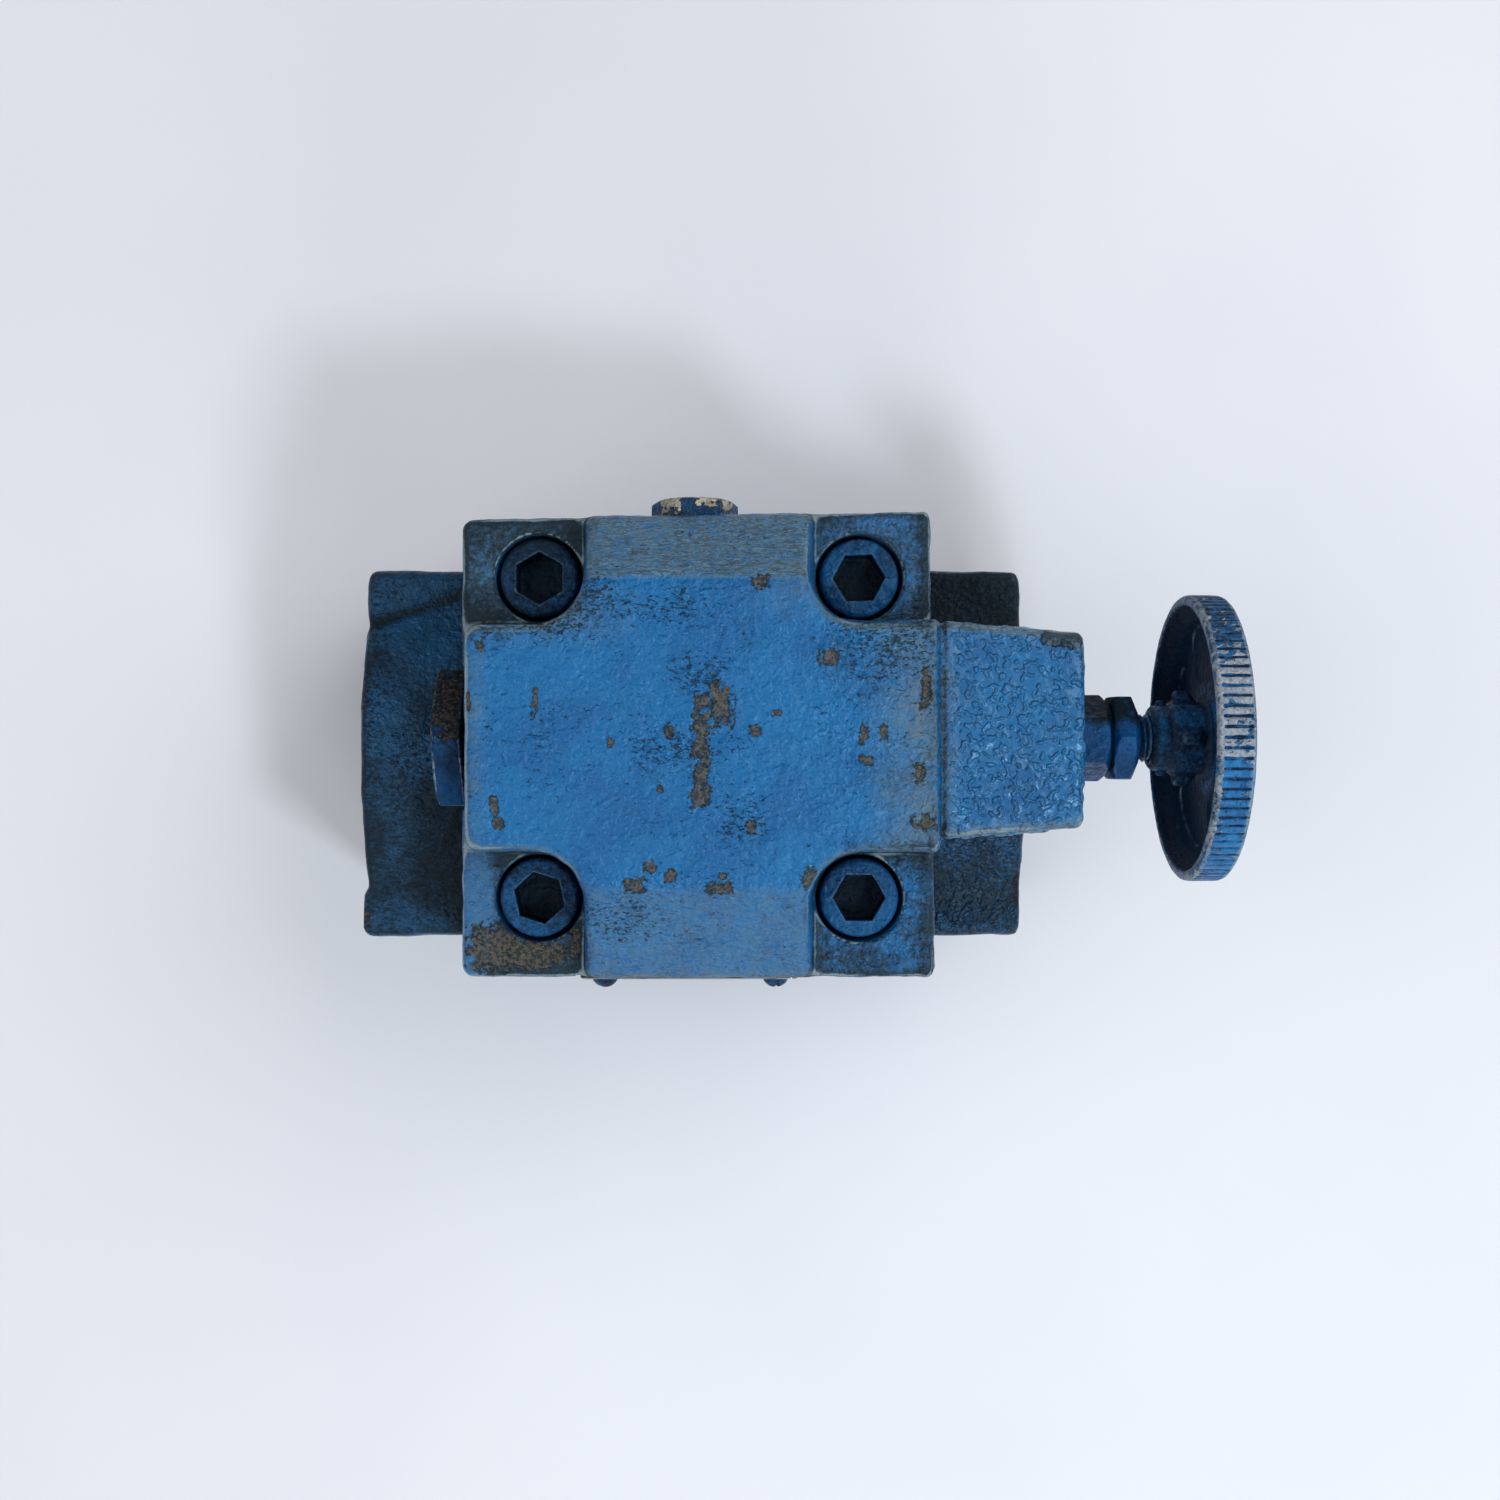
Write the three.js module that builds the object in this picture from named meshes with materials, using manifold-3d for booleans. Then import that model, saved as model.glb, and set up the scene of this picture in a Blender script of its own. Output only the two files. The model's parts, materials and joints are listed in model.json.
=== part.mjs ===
// Hydraulic flow control valve: a cast body with two in-line threaded ports and a pressure compensator,
// a throttle housing screwed on top of it, and a handwheel that screws the throttle spool in and out.
// Millimetres. +X runs along the adjuster to the handwheel, +Y points to the vent plug and +Z is up.
// The origin is on the base, under the middle of the four cap screws.
import * as THREE from 'three';
import { mergeVertices } from 'three/addons/utils/BufferGeometryUtils.js';
import Module from 'manifold-3d';

const wasm = await Module();
wasm.setup();

// ---- Driving dimensions ----
const AXIS_Z = 100; // axis of the throttle bore and the handwheel
const JOINT_Z = 82; // joint face between body and housing
const DECK_Z = 108; // corner decks that the cap screws sit in
const CROWN_Z = 125; // flat top of the housing
const BOLT = 36.5; // half the spacing of the square bolt pattern
const GAP = 0.15; // radial gap between a piece and its hole, and between touching faces

const BLOCK = { left: -56, right: 52.4, front: -56.4, back: 50 }; // middle of the body
const ENDS = { left: -82.9, right: 78.9, front: -49, back: 41.2, bottom: 3, shoulder: 72 }; // port ends
const LUG = { left: -84.9, right: -70, front: -49, back: -37 }; // pad on the front left corner
const PORT = { y: -3.9, z: 41, crown: 81, halfChord: 34 };
const PORT_THREAD = { r: 19.5, depth: 29, face: 27, faceDepth: 0.6 }; // G 1 1/4 tapping size
const HOUSING = { left: -54.4, right: 54.2, front: -55.4, back: 51.6 }; // at the joint face
const RIDGE = 24.8; // half width of the raised cross on the housing
const CROSS_LEFT = -52.6; // the cross stands a little inside the flange on its left
// The cross's back and front arms slope down to their ends.
const RAMP = { back: 35, backEdge: 50.4, front: 32.5, frontEdge: 54, end: 112 };
const BOSS = { face: 85.1, bottom: 83, top: 123.4, root: 24.3, tip: 21.6, shift: 1.6 };
const HOUSING_DRAFT = 0.045; // inward lean of the housing's sides, per millimetre of height

// Cap screws, with the holes they pass through and the tapped holes they end in.
const CAP = { shank: 6, length: 38, head: 9, headHeight: 12, edge: 0.8, sunk: 0.8 };
const SOCKET = { af: 10, depth: 6.5 };
const CAP_HOLE = { clearance: 6.8, counterbore: 10, floor: 52 };
const SOCKET_SPINS = [0, 32, 12, 30]; // degrees each screw happened to be turned when it was tightened
const DOWEL = { r: 3, from: 73.3, to: 90.7, room: 0.3 };

// Stations along X of the throttle, its stem and the handwheel.
const THROTTLE = { bore: 11, gallery: 14, plugBore: 13.6, land: [-14, -5], guide: 34, end: 60 };
const SPOOL = { left: -18, notchEnd: -3, landEnd: 4, guideStart: 37, right: 54.7, neck: 5.5, stub: 4.5 };
const PLUG = { af: 31, face: -59.8, seat: -53, thread: 13.4, inner: -38, spotFace: 17.95 };
const PLUG_POCKET = { r: 9, end: -47 }; // the spring stands in it
const PLUG_NECK = { depth: 1.8, length: 3.2 }; // relief behind the thread, which the O-ring sits in
const GLAND = { af: 17.5, hexEnd: 93.9, thread: 8, inner: 66, bore: 5.75, ringSeat: 10.2, spin: 33.6 };
const WASHER = { from: 94, to: 94.4, r: 8.2 };
const NUT = { af: 19.05, from: 94.5, flatEnd: 99.8, to: 101.2, face: 8.9, mouth: 5.9 };
const STEM = { tip: 3.5, plain: 5.2, plainFrom: 57, thread: 5.55, threadFrom: 76, end: 119.6 };
const HUB_FIT = { r: 5, from: 104 }; // turned-down end of the stem, inside the wheel's hub
const STEM_GROOVE = { from: 68, to: 70.6, depth: 1.4 };
const WHEEL = { r: 33.1, rimWall: 2.4, open: 111.7, closed: 120.1, web: 3, facets: 45 };
const HUB = { r: 8.2, from: 108.9, collar: 7.6, collarEnd: 108.3 };
const GRIP = { grooves: 90, depth: 0.6 };
const LOBE = { reach: 11.1, half: 2.2, from: 109.5, corner: 2, edge: 0.6 }; // four of them round the hub
const PIN = { x: 107, r: 1.2, half: 8.7 };

// The pressure compensator stands under the throttle, with the oil passages beside it.
const COMPENSATOR = { bore: 13, floor: 8, ring: [36, 50], outlet: [58, 68], gallery: 17 };
const PISTON = { from: 27, landTop: 34.5, neck: 6.5, upperLand: 62, nose: 4.5, bleed: 1.5 };
const SKIRT = { r: 8, top: 33 }; // hollow under the piston, round its spring
const COMPENSATOR_SPRING = { outer: 7.4, wire: 2, to: 32.7, turns: 6 };
const THROTTLE_SPRING = { outer: 8, wire: 2, turns: 7 };
const PORT_PASSAGE = { r: 12, start: 60, inletEnd: 0, outletEnd: 24 }; // from each port towards the middle
const RISER = { x: 28, r: 6.5, inletFloor: 62 }; // up through the joint face on both sides
const FEED = { r: 4.5, z: 63 }; // from the compensator to the riser on the inlet side
const SENSE = { r: 1.2, z: 22.5, from: 10, to: 55 }; // line that feeds outlet pressure under the compensator
const ORIFICE = { x: 20, bore: 0.6, r: 2.5, half: 3, seat: 2.7, seatFrom: 11, seatTo: 26 };

// O-rings, each as the radius of its middle and its thickness, and the grooves in the joint face.
const RISER_RING = [9.15, 1.7];
const COMPENSATOR_RING = [15.4, 1.7];
const PLUG_RING = [12.5, 1.6];
const GLAND_RING = [9.15, 1.5];
const STEM_RING = [4.75, 1.5];
const VENT_RING = [7.2, 1.6];
const JOINT_GROOVE = { depth: 1.9, riser: [8, 10.3], compensator: [14.2, 16.6] };

const VENT = { x: -1.2, af: 17.5, face: 54.95, seat: 50.3, thread: 7, inner: 40, spin: 6.7, spotFace: 10.4 };
const VENT_NECK = { depth: 1.2, from: 46.6 };
const VENT_RING_SEAT = { r: 9.3, from: 48.4 };
const VENT_DRILL = { r: 2.5, from: 8, to: 45 };
const PLATE = { x: -2.4, z: 95.5, width: 50, height: 21, corner: 2, thick: 0.9, back: -54.35, screw: 20 };
const PLATE_SCREW = { head: 3.25, dome: 3.1, shank: 1.4, length: 5, slot: [1, 8, 2] };

const ROUND = 32; // facets round a large bore
const SMALL = 16; // facets round a small one

const X = new THREE.Vector3(1, 0, 0);
const Y = new THREE.Vector3(0, 1, 0);
const Z = new THREE.Vector3(0, 0, 1);
const ALONG_X = new THREE.Matrix4().makeBasis(Y, Z, X); // lays a part built along Z along X
const ALONG_Y = new THREE.Matrix4().makeBasis(Z, X, Y); // and along Y

// ---- Materials ----
function finish(color, roughness, metalness) {
  return new THREE.MeshStandardMaterial({ color, roughness, metalness });
}

const bluePaint = finish(0x2f6ca6, 0.45, 0.1);
const bodyPaint = finish(0x1f4468, 0.55, 0.1);
const screwPaint = finish(0x27506f, 0.5, 0.3);
const wheelPaint = finish(0x3f6f9f, 0.45, 0.4);
const steel = finish(0xa4a8ac, 0.35, 1);
const springSteel = finish(0x55585c, 0.4, 1);
const brass = finish(0xb08d4a, 0.35, 1);
const rubber = finish(0x151515, 0.8, 0);
const plateMetal = finish(0x8d9094, 0.4, 0.9);

// ---- Solids ----
function solidOf(geometry) {
  const bare = new THREE.BufferGeometry();
  bare.setAttribute('position', geometry.getAttribute('position'));
  bare.setIndex(geometry.index);
  const merged = mergeVertices(bare, 1e-4);
  return new wasm.Manifold(
    new wasm.Mesh({
      numProp: 3,
      vertProperties: merged.attributes.position.array,
      triVerts: new Uint32Array(merged.index.array),
    }),
  );
}

function geometryOf(solid) {
  const mesh = solid.getMesh();
  const geometry = new THREE.BufferGeometry();
  geometry.setAttribute('position', new THREE.BufferAttribute(mesh.vertProperties, 3));
  geometry.setIndex(new THREE.BufferAttribute(mesh.triVerts, 1));
  geometry.computeVertexNormals();
  return geometry;
}

const cut = (solid, ...geometries) => geometries.reduce((left, g) => left.subtract(solidOf(g)), solid);
const join = (solid, ...geometries) => geometries.reduce((sum, g) => sum.add(solidOf(g)), solid);

// A solid of revolution about Z, from a profile of [radius, height] pairs that runs anticlockwise.
function turned(profile, facets = ROUND) {
  const points = profile.map(([r, z]) => new THREE.Vector2(r, z));
  return new THREE.LatheGeometry(points, facets).rotateX(Math.PI / 2);
}

// A disc or rod about Z, solid, and a tube about Z.
const rod = (r, from, to, facets) => turned([[0, from], [r, from], [r, to], [0, to]], facets);
const tube = (inner, outer, from, to, facets) =>
  turned([[inner, from], [outer, from], [outer, to], [inner, to], [inner, from]], facets);

// A drill along an axis: its radius, its two ends, and where it stands on the other two axes.
function drill(axis, r, from, to, a, b, facets = SMALL) {
  const geometry = rod(r, Math.min(from, to), Math.max(from, to), facets);
  if (axis === 'x') return geometry.applyMatrix4(ALONG_X).translate(0, a, b);
  if (axis === 'y') return geometry.applyMatrix4(ALONG_Y).translate(a, 0, b);
  return geometry.translate(a, b, 0);
}

function roundedRectangle({ left, right, front, back }, corner) {
  const shape = new THREE.Shape();
  shape.absarc(right - corner, front + corner, corner, -Math.PI / 2, 0);
  shape.absarc(right - corner, back - corner, corner, 0, Math.PI / 2);
  shape.absarc(left + corner, back - corner, corner, Math.PI / 2, Math.PI);
  shape.absarc(left + corner, front + corner, corner, Math.PI, 1.5 * Math.PI);
  return shape;
}

// A prism on a shape whose two end edges are rounded.
function softPrism(shape, from, to, edge) {
  return new THREE.ExtrudeGeometry(shape, {
    depth: to - from - 2 * edge,
    bevelThickness: edge,
    bevelSize: edge,
    bevelOffset: -edge,
    bevelSegments: 1,
    curveSegments: 3,
  }).translate(0, 0, from + edge);
}

// Scales a geometry's section towards a middle line, by a share that grows with height above a level.
function drafted(geometry, level, middle, lean) {
  const p = geometry.getAttribute('position');
  for (let i = 0; i < p.count; i++) {
    const rise = Math.max(0, p.getZ(i) - level) * lean;
    for (const axis of [0, 1]) {
      const offset = p.getComponent(i, axis) - middle[axis];
      const moved = Math.sign(offset) * Math.max(0, Math.abs(offset) - rise);
      if (Math.abs(offset) > 1) p.setComponent(i, axis, middle[axis] + moved);
    }
  }
  return geometry;
}

// A hexagonal prism about Z with corners on local Y, turned down to a profile and bored through.
function hexagonal(af, profile, bore, spin = 0) {
  const low = Math.min(...profile.map((p) => p[1]));
  const high = Math.max(...profile.map((p) => p[1]));
  const prism = new THREE.CylinderGeometry(af / Math.sqrt(3), af / Math.sqrt(3), high - low, 6)
    .rotateX(Math.PI / 2)
    .rotateZ(spin)
    .translate(0, 0, (low + high) / 2);
  const hex = solidOf(prism).intersect(solidOf(turned(profile, SMALL)));
  return bore ? cut(hex, rod(bore, low - 1, high + 1, SMALL)) : hex;
}

const oRing = (radius, thickness) => new THREE.TorusGeometry(radius, thickness / 2, 5, SMALL);

class Helix extends THREE.Curve {
  constructor(radius, from, to, turns) {
    super();
    Object.assign(this, { radius, from, to, turns });
  }

  getPoint(t, target = new THREE.Vector3()) {
    const angle = 2 * Math.PI * this.turns * t;
    const height = this.from + (this.to - this.from) * t;
    return target.set(this.radius * Math.cos(angle), this.radius * Math.sin(angle), height);
  }
}

function spring(outer, wire, from, to, turns) {
  const section = new THREE.Shape().absarc(0, 0, wire / 2, 0, 2 * Math.PI);
  const path = new Helix(outer - wire / 2, from + wire / 2, to - wire / 2, turns);
  return new THREE.ExtrudeGeometry(section, { extrudePath: path, steps: turns * 8, curveSegments: 3 });
}

// ---- Scene graph ----
const valve = new THREE.Group();
const throttleAxis = new THREE.Group(); // everything turned about the throttle axis, built along Z
throttleAxis.applyMatrix4(ALONG_X);
throttleAxis.position.z = AXIS_Z;
const compensatorAxis = new THREE.Group();
const ventAxis = new THREE.Group();
ventAxis.applyMatrix4(ALONG_Y);
ventAxis.position.set(VENT.x, 0, AXIS_Z);
valve.add(throttleAxis, compensatorAxis, ventAxis);

function add(group, name, shape, material, place = [0, 0, 0]) {
  const geometry = shape.isBufferGeometry ? shape : geometryOf(shape);
  const mesh = new THREE.Mesh(geometry, material);
  mesh.name = name;
  mesh.position.set(...place);
  group.add(mesh);
  return mesh;
}

// ---- Body ----
// The port ends: square shoulders with a low crown arched between them, swept along X.
function portEnds() {
  const rise = PORT.crown - ENDS.shoulder;
  const arch = (PORT.halfChord ** 2 + rise ** 2) / (2 * rise);
  const half = Math.asin(PORT.halfChord / arch);
  const section = new THREE.Shape();
  section.moveTo(ENDS.front, ENDS.bottom);
  section.lineTo(ENDS.back, ENDS.bottom);
  section.lineTo(ENDS.back, ENDS.shoulder);
  section.absarc(PORT.y, PORT.crown - arch, arch, Math.PI / 2 - half, Math.PI / 2 + half);
  section.lineTo(ENDS.front, ENDS.shoulder);
  return softPrism(section, ENDS.left, ENDS.right, 1.6).applyMatrix4(ALONG_X);
}

// A groove in the joint face for the O-ring round a riser or the compensator.
function jointGroove([inner, outer], x) {
  return tube(inner, outer, JOINT_Z - JOINT_GROOVE.depth, JOINT_Z + 1, SMALL).translate(x, 0, 0);
}

function mainBody() {
  const body = join(
    solidOf(softPrism(roundedRectangle(BLOCK, 4), 0, JOINT_Z, 1.2)),
    portEnds(),
    softPrism(roundedRectangle(LUG, 2.5), ENDS.bottom, ENDS.shoulder, 1.6),
  );
  const [y, z] = [PORT.y, PORT.z];
  const ports = [ENDS.left, ENDS.right].flatMap((end) => {
    const inward = -Math.sign(end);
    return [
      drill('x', PORT_THREAD.face, end - inward * 3, end + inward * PORT_THREAD.faceDepth, y, z, ROUND),
      drill('x', PORT_THREAD.r, end - inward * 3, end + inward * PORT_THREAD.depth, y, z, ROUND),
    ];
  });
  const passages = [
    drill('x', PORT_PASSAGE.r, -PORT_PASSAGE.start, PORT_PASSAGE.inletEnd, y, z),
    drill('x', PORT_PASSAGE.r, PORT_PASSAGE.outletEnd, PORT_PASSAGE.start, y, z),
    drill('z', RISER.r, z, JOINT_Z + 1, RISER.x, 0),
    drill('z', RISER.r, RISER.inletFloor, JOINT_Z + 1, -RISER.x, 0),
    drill('x', FEED.r, -RISER.x, 0, 0, FEED.z),
    drill('x', ORIFICE.seat, ORIFICE.seatFrom, ORIFICE.seatTo, y, SENSE.z),
    drill('x', SENSE.r, SENSE.from, SENSE.to, y, SENSE.z),
  ];
  const compensatorBore = [
    drill('z', COMPENSATOR.bore, COMPENSATOR.floor, JOINT_Z + 1, 0, 0, ROUND),
    drill('z', COMPENSATOR.gallery, ...COMPENSATOR.ring, 0, 0, ROUND),
    drill('z', COMPENSATOR.gallery, ...COMPENSATOR.outlet, 0, 0, ROUND),
  ];
  const grooves = [
    jointGroove(JOINT_GROOVE.compensator, 0),
    jointGroove(JOINT_GROOVE.riser, RISER.x),
    jointGroove(JOINT_GROOVE.riser, -RISER.x),
  ];
  const threads = corners().map(([, x, boltY]) => {
    return drill('z', CAP.shank + GAP, CAP_HOLE.floor, JOINT_Z + 1, x, boltY);
  });
  const dowel = drill('z', DOWEL.r + GAP, DOWEL.from - DOWEL.room, JOINT_Z + 1, 0, -BOLT);
  return cut(body, ...ports, ...passages, ...compensatorBore, ...grooves, ...threads, dowel);
}

function corners() {
  return [
    ['back_left', -BOLT, BOLT],
    ['back_right', BOLT, BOLT],
    ['front_left', -BOLT, -BOLT],
    ['front_right', BOLT, -BOLT],
  ];
}

// ---- Throttle housing ----
// The raised cross: four arms with the inner corners rounded about the cap screws.
function crossShape() {
  const { right, front, back } = HOUSING;
  const left = CROSS_LEFT;
  const fillet = BOLT - RIDGE;
  const shape = new THREE.Shape();
  shape.moveTo(right, -RIDGE);
  shape.lineTo(right, RIDGE);
  shape.absarc(BOLT, BOLT, fillet, 1.5 * Math.PI, Math.PI, true);
  shape.lineTo(RIDGE, back);
  shape.lineTo(-RIDGE, back);
  shape.absarc(-BOLT, BOLT, fillet, 0, 1.5 * Math.PI, true);
  shape.lineTo(left, RIDGE);
  shape.lineTo(left, -RIDGE);
  shape.absarc(-BOLT, -BOLT, fillet, Math.PI / 2, 0, true);
  shape.lineTo(-RIDGE, front);
  shape.lineTo(RIDGE, front);
  shape.absarc(BOLT, -BOLT, fillet, Math.PI, Math.PI / 2, true);
  return shape;
}

// A wedge that slopes one arm of the cross down to its outer edge.
function rampCutter(side, inner, edge) {
  const section = new THREE.Shape();
  const run = edge - inner;
  const slope = (CROWN_Z - RAMP.end) / run;
  section.moveTo(side * inner, CROWN_Z);
  section.lineTo(side * (inner + 2 * run), CROWN_Z - 2 * run * slope);
  section.lineTo(side * (inner + 2 * run), CROWN_Z + 5);
  section.lineTo(side * inner, CROWN_Z + 5);
  return new THREE.ExtrudeGeometry(section, { depth: 2 * BOLT, bevelEnabled: false })
    .translate(0, 0, -BOLT)
    .applyMatrix4(ALONG_X);
}

// The boss that carries the gland, tapering to its face.
function adjusterBoss() {
  const { face, bottom, top, root, tip, shift } = BOSS;
  const section = { left: -root, right: root, front: bottom, back: top };
  const start = HOUSING.right - 8;
  const boss = softPrism(roundedRectangle(section, 4), start, face, 2);
  const p = boss.getAttribute('position');
  for (let i = 0; i < p.count; i++) {
    const share = Math.max(0, (p.getZ(i) - HOUSING.right) / (face - HOUSING.right));
    p.setX(i, p.getX(i) * (1 + (tip / root - 1) * share) + shift);
  }
  return boss.applyMatrix4(ALONG_X);
}

// The cast blank: a flange with the cross standing on it, both drafted and cut off flat at the joint face.
function housingBlank() {
  const middle = [0, (HOUSING.front + HOUSING.back) / 2];
  const flange = softPrism(roundedRectangle(HOUSING, 3), JOINT_Z - 6, DECK_Z, 1.2);
  const cross = softPrism(crossShape(), JOINT_Z + 4, CROWN_Z, 1.8);
  const sloped = cut(
    solidOf(drafted(cross, JOINT_Z, middle, HOUSING_DRAFT)),
    rampCutter(1, RAMP.back, RAMP.backEdge),
    rampCutter(-1, RAMP.front, RAMP.frontEdge),
  );
  const below = new THREE.BoxGeometry(4 * BOLT, 4 * BOLT, 20).translate(0, 0, JOINT_Z - 10);
  return cut(solidOf(drafted(flange, JOINT_Z, middle, HOUSING_DRAFT)).add(sloped), below);
}

function throttleHousing() {
  const casting = join(housingBlank(), adjusterBoss());
  const { bore, gallery, plugBore, land, guide, end } = THROTTLE;
  const outside = HOUSING.left - 5;
  const throttleBore = [
    drill('x', PLUG.spotFace, outside, PLUG.seat + GAP, 0, AXIS_Z, ROUND),
    drill('x', plugBore, outside, land[0], 0, AXIS_Z, ROUND),
    drill('x', bore, land[0] - 1, end, 0, AXIS_Z, ROUND),
    drill('x', gallery, land[1], guide, 0, AXIS_Z, ROUND),
    drill('x', GLAND.thread + GAP, end - 1, BOSS.face + 5, 0, AXIS_Z, SMALL),
    drill('x', GLAND.ringSeat, BOSS.face - 2, BOSS.face + 5, 0, AXIS_Z, SMALL),
  ];
  const risers = [-RISER.x, RISER.x].map((x) => drill('z', RISER.r, JOINT_Z - 1, AXIS_Z, x, 0));
  const behind = HOUSING.back + 8;
  const vent = [
    drill('y', VENT.thread + GAP, VENT.inner - 2, behind, VENT.x, AXIS_Z),
    drill('y', VENT_DRILL.r, VENT_DRILL.from, VENT_DRILL.to, VENT.x, AXIS_Z),
    drill('y', VENT_RING_SEAT.r, VENT_RING_SEAT.from, behind, VENT.x, AXIS_Z),
    drill('y', VENT.spotFace, VENT.seat - GAP, behind, VENT.x, AXIS_Z),
  ];
  const screws = corners().flatMap(([, x, y]) => [
    drill('z', CAP_HOLE.clearance, JOINT_Z - 1, DECK_Z + 1, x, y),
    drill('z', CAP_HOLE.counterbore, DECK_Z - CAP.headHeight - CAP.sunk, DECK_Z + 3, x, y, ROUND),
  ]);
  const dowel = drill('z', DOWEL.r + GAP, JOINT_Z - 1, DOWEL.to + DOWEL.room, 0, -BOLT);
  const plateFace = new THREE.BoxGeometry(PLATE.width + 2, 10, PLATE.height + 2);
  plateFace.translate(PLATE.x, PLATE.back + GAP - 5, PLATE.z);
  const plateScrews = [-1, 1].map((side) => {
    const x = PLATE.x + side * PLATE.screw;
    const inner = PLATE.back + PLATE_SCREW.length;
    return drill('y', PLATE_SCREW.shank + GAP, PLATE.back - 5, inner, x, PLATE.z);
  });
  return cut(casting, ...throttleBore, ...risers, ...vent, ...screws, dowel, plateFace, ...plateScrews);
}

// ---- Fasteners and plugs ----
function capScrew(spin) {
  const { shank, head, headHeight, length, edge } = CAP;
  const profile = [
    [0, -length],
    [shank - 1, -length],
    [shank, 1 - length],
    [shank, 0],
    [head, 0],
    [head, headHeight - edge],
    [head - edge, headHeight],
    [0, headHeight],
  ];
  const corner = SOCKET.af / Math.sqrt(3);
  const key = new THREE.CylinderGeometry(corner, corner, 2 * SOCKET.depth, 6)
    .rotateX(Math.PI / 2)
    .rotateZ(spin)
    .translate(0, 0, headHeight);
  return cut(solidOf(turned(profile, SMALL)), key);
}

function borePlug() {
  const { af, face, seat, thread, inner } = PLUG;
  const corner = af / Math.sqrt(3);
  const outline = [[0, face], [af / 2 - 0.8, face], [corner, face + 1.6], [corner, seat], [0, seat]];
  const head = hexagonal(af, outline);
  const neck = thread - PLUG_NECK.depth;
  const neckEnd = seat + PLUG_NECK.length;
  const shank = [
    [0, seat - 1],
    [neck, seat - 1],
    [neck, neckEnd],
    [thread, neckEnd],
    [thread, inner],
    [0, inner],
  ];
  return cut(join(head, turned(shank)), rod(PLUG_POCKET.r, PLUG_POCKET.end, inner + 1, SMALL));
}

function ventPlug() {
  const { af, face, seat, thread, inner, spin } = VENT;
  const corner = af / Math.sqrt(3);
  const outline = [[0, seat], [corner, seat], [corner, face - 1], [af / 2 - 0.6, face], [0, face]];
  const head = hexagonal(af, outline, 0, THREE.MathUtils.degToRad(spin));
  const neck = thread - VENT_NECK.depth;
  const shank = [
    [0, inner],
    [thread, inner],
    [thread, VENT_NECK.from],
    [neck, VENT_NECK.from],
    [neck, seat + 1],
    [0, seat + 1],
  ];
  return join(head, turned(shank, SMALL));
}

function stemGland() {
  const { af, hexEnd, thread, inner, bore, spin } = GLAND;
  const seat = BOSS.face + GAP;
  const corner = af / Math.sqrt(3) + 0.2;
  const profile = [
    [0, inner],
    [thread, inner],
    [thread, seat],
    [corner, seat],
    [corner, hexEnd - 0.9],
    [af / 2 - 0.3, hexEnd],
    [0, hexEnd],
  ];
  return hexagonal(af, profile, bore, THREE.MathUtils.degToRad(spin));
}

function lockNut() {
  const { af, from, flatEnd, to, face, mouth } = NUT;
  const corner = af / Math.sqrt(3) + 0.2;
  const profile = [
    [0, from],
    [face, from],
    [corner, from + 1.3],
    [corner, flatEnd - 0.6],
    [af / 2, flatEnd],
    [mouth, to],
    [0, to],
  ];
  return hexagonal(af, profile, GLAND.bore);
}

function plateScrew() {
  const { head, dome, shank, length } = PLATE_SCREW;
  const sphere = (head ** 2 + dome ** 2) / (2 * dome);
  const arc = [1, 0.75, 0.5, 0.25].map((share) => {
    const r = head * share;
    return [r, Math.sqrt(sphere ** 2 - r ** 2) - sphere + dome];
  });
  const blank = turned([[0, -length], [shank, -length], [shank, 0], [head, 0], ...arc, [0, dome]], 12);
  return cut(solidOf(blank), new THREE.BoxGeometry(...PLATE_SCREW.slot).translate(0, 0, dome));
}

function nameplate() {
  const [w, h] = [PLATE.width / 2, PLATE.height / 2];
  const outline = roundedRectangle({ left: -w, right: w, front: -h, back: h }, PLATE.corner);
  for (const side of [-1, 1]) {
    const hole = new THREE.Path();
    hole.absarc(side * PLATE.screw, 0, PLATE_SCREW.shank + 2 * GAP, 0, 2 * Math.PI);
    outline.holes.push(hole);
  }
  return new THREE.ExtrudeGeometry(outline, { depth: PLATE.thick, bevelEnabled: false, curveSegments: 3 });
}

// ---- Throttle, stem and handwheel ----
function throttleSpool() {
  const { left, notchEnd, landEnd, guideStart, right, neck, stub } = SPOOL;
  const r = THROTTLE.bore - 0.1;
  const profile = [
    [0, left - 3],
    [stub, left - 3],
    [stub, left],
    [r, left],
    [r, landEnd],
    [neck, landEnd],
    [neck, guideStart],
    [r, guideStart],
    [r, right],
    [0, right],
  ];
  // Four V notches deepen towards the spring end and meter the flow over the housing's land.
  const notch = new THREE.Shape();
  notch.moveTo(left - 1, r + 1);
  notch.lineTo(left - 1, r - 4);
  notch.lineTo(notchEnd, r);
  notch.lineTo(notchEnd, r + 1);
  const cutter = new THREE.ExtrudeGeometry(notch, { depth: 5, bevelEnabled: false })
    .translate(0, 0, -2.5)
    .applyMatrix4(new THREE.Matrix4().makeBasis(Z, X, Y));
  const notches = [0, 1, 2, 3].map((i) => cutter.clone().rotateZ((i * Math.PI) / 2));
  return cut(solidOf(turned(profile)), ...notches);
}

// The hole across a piece on the throttle axis for the pin that holds the wheel on its stem.
const pinHole = () => rod(PIN.r + GAP, -20, 20, 12).rotateY(Math.PI / 2).translate(0, 0, PIN.x);

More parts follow.
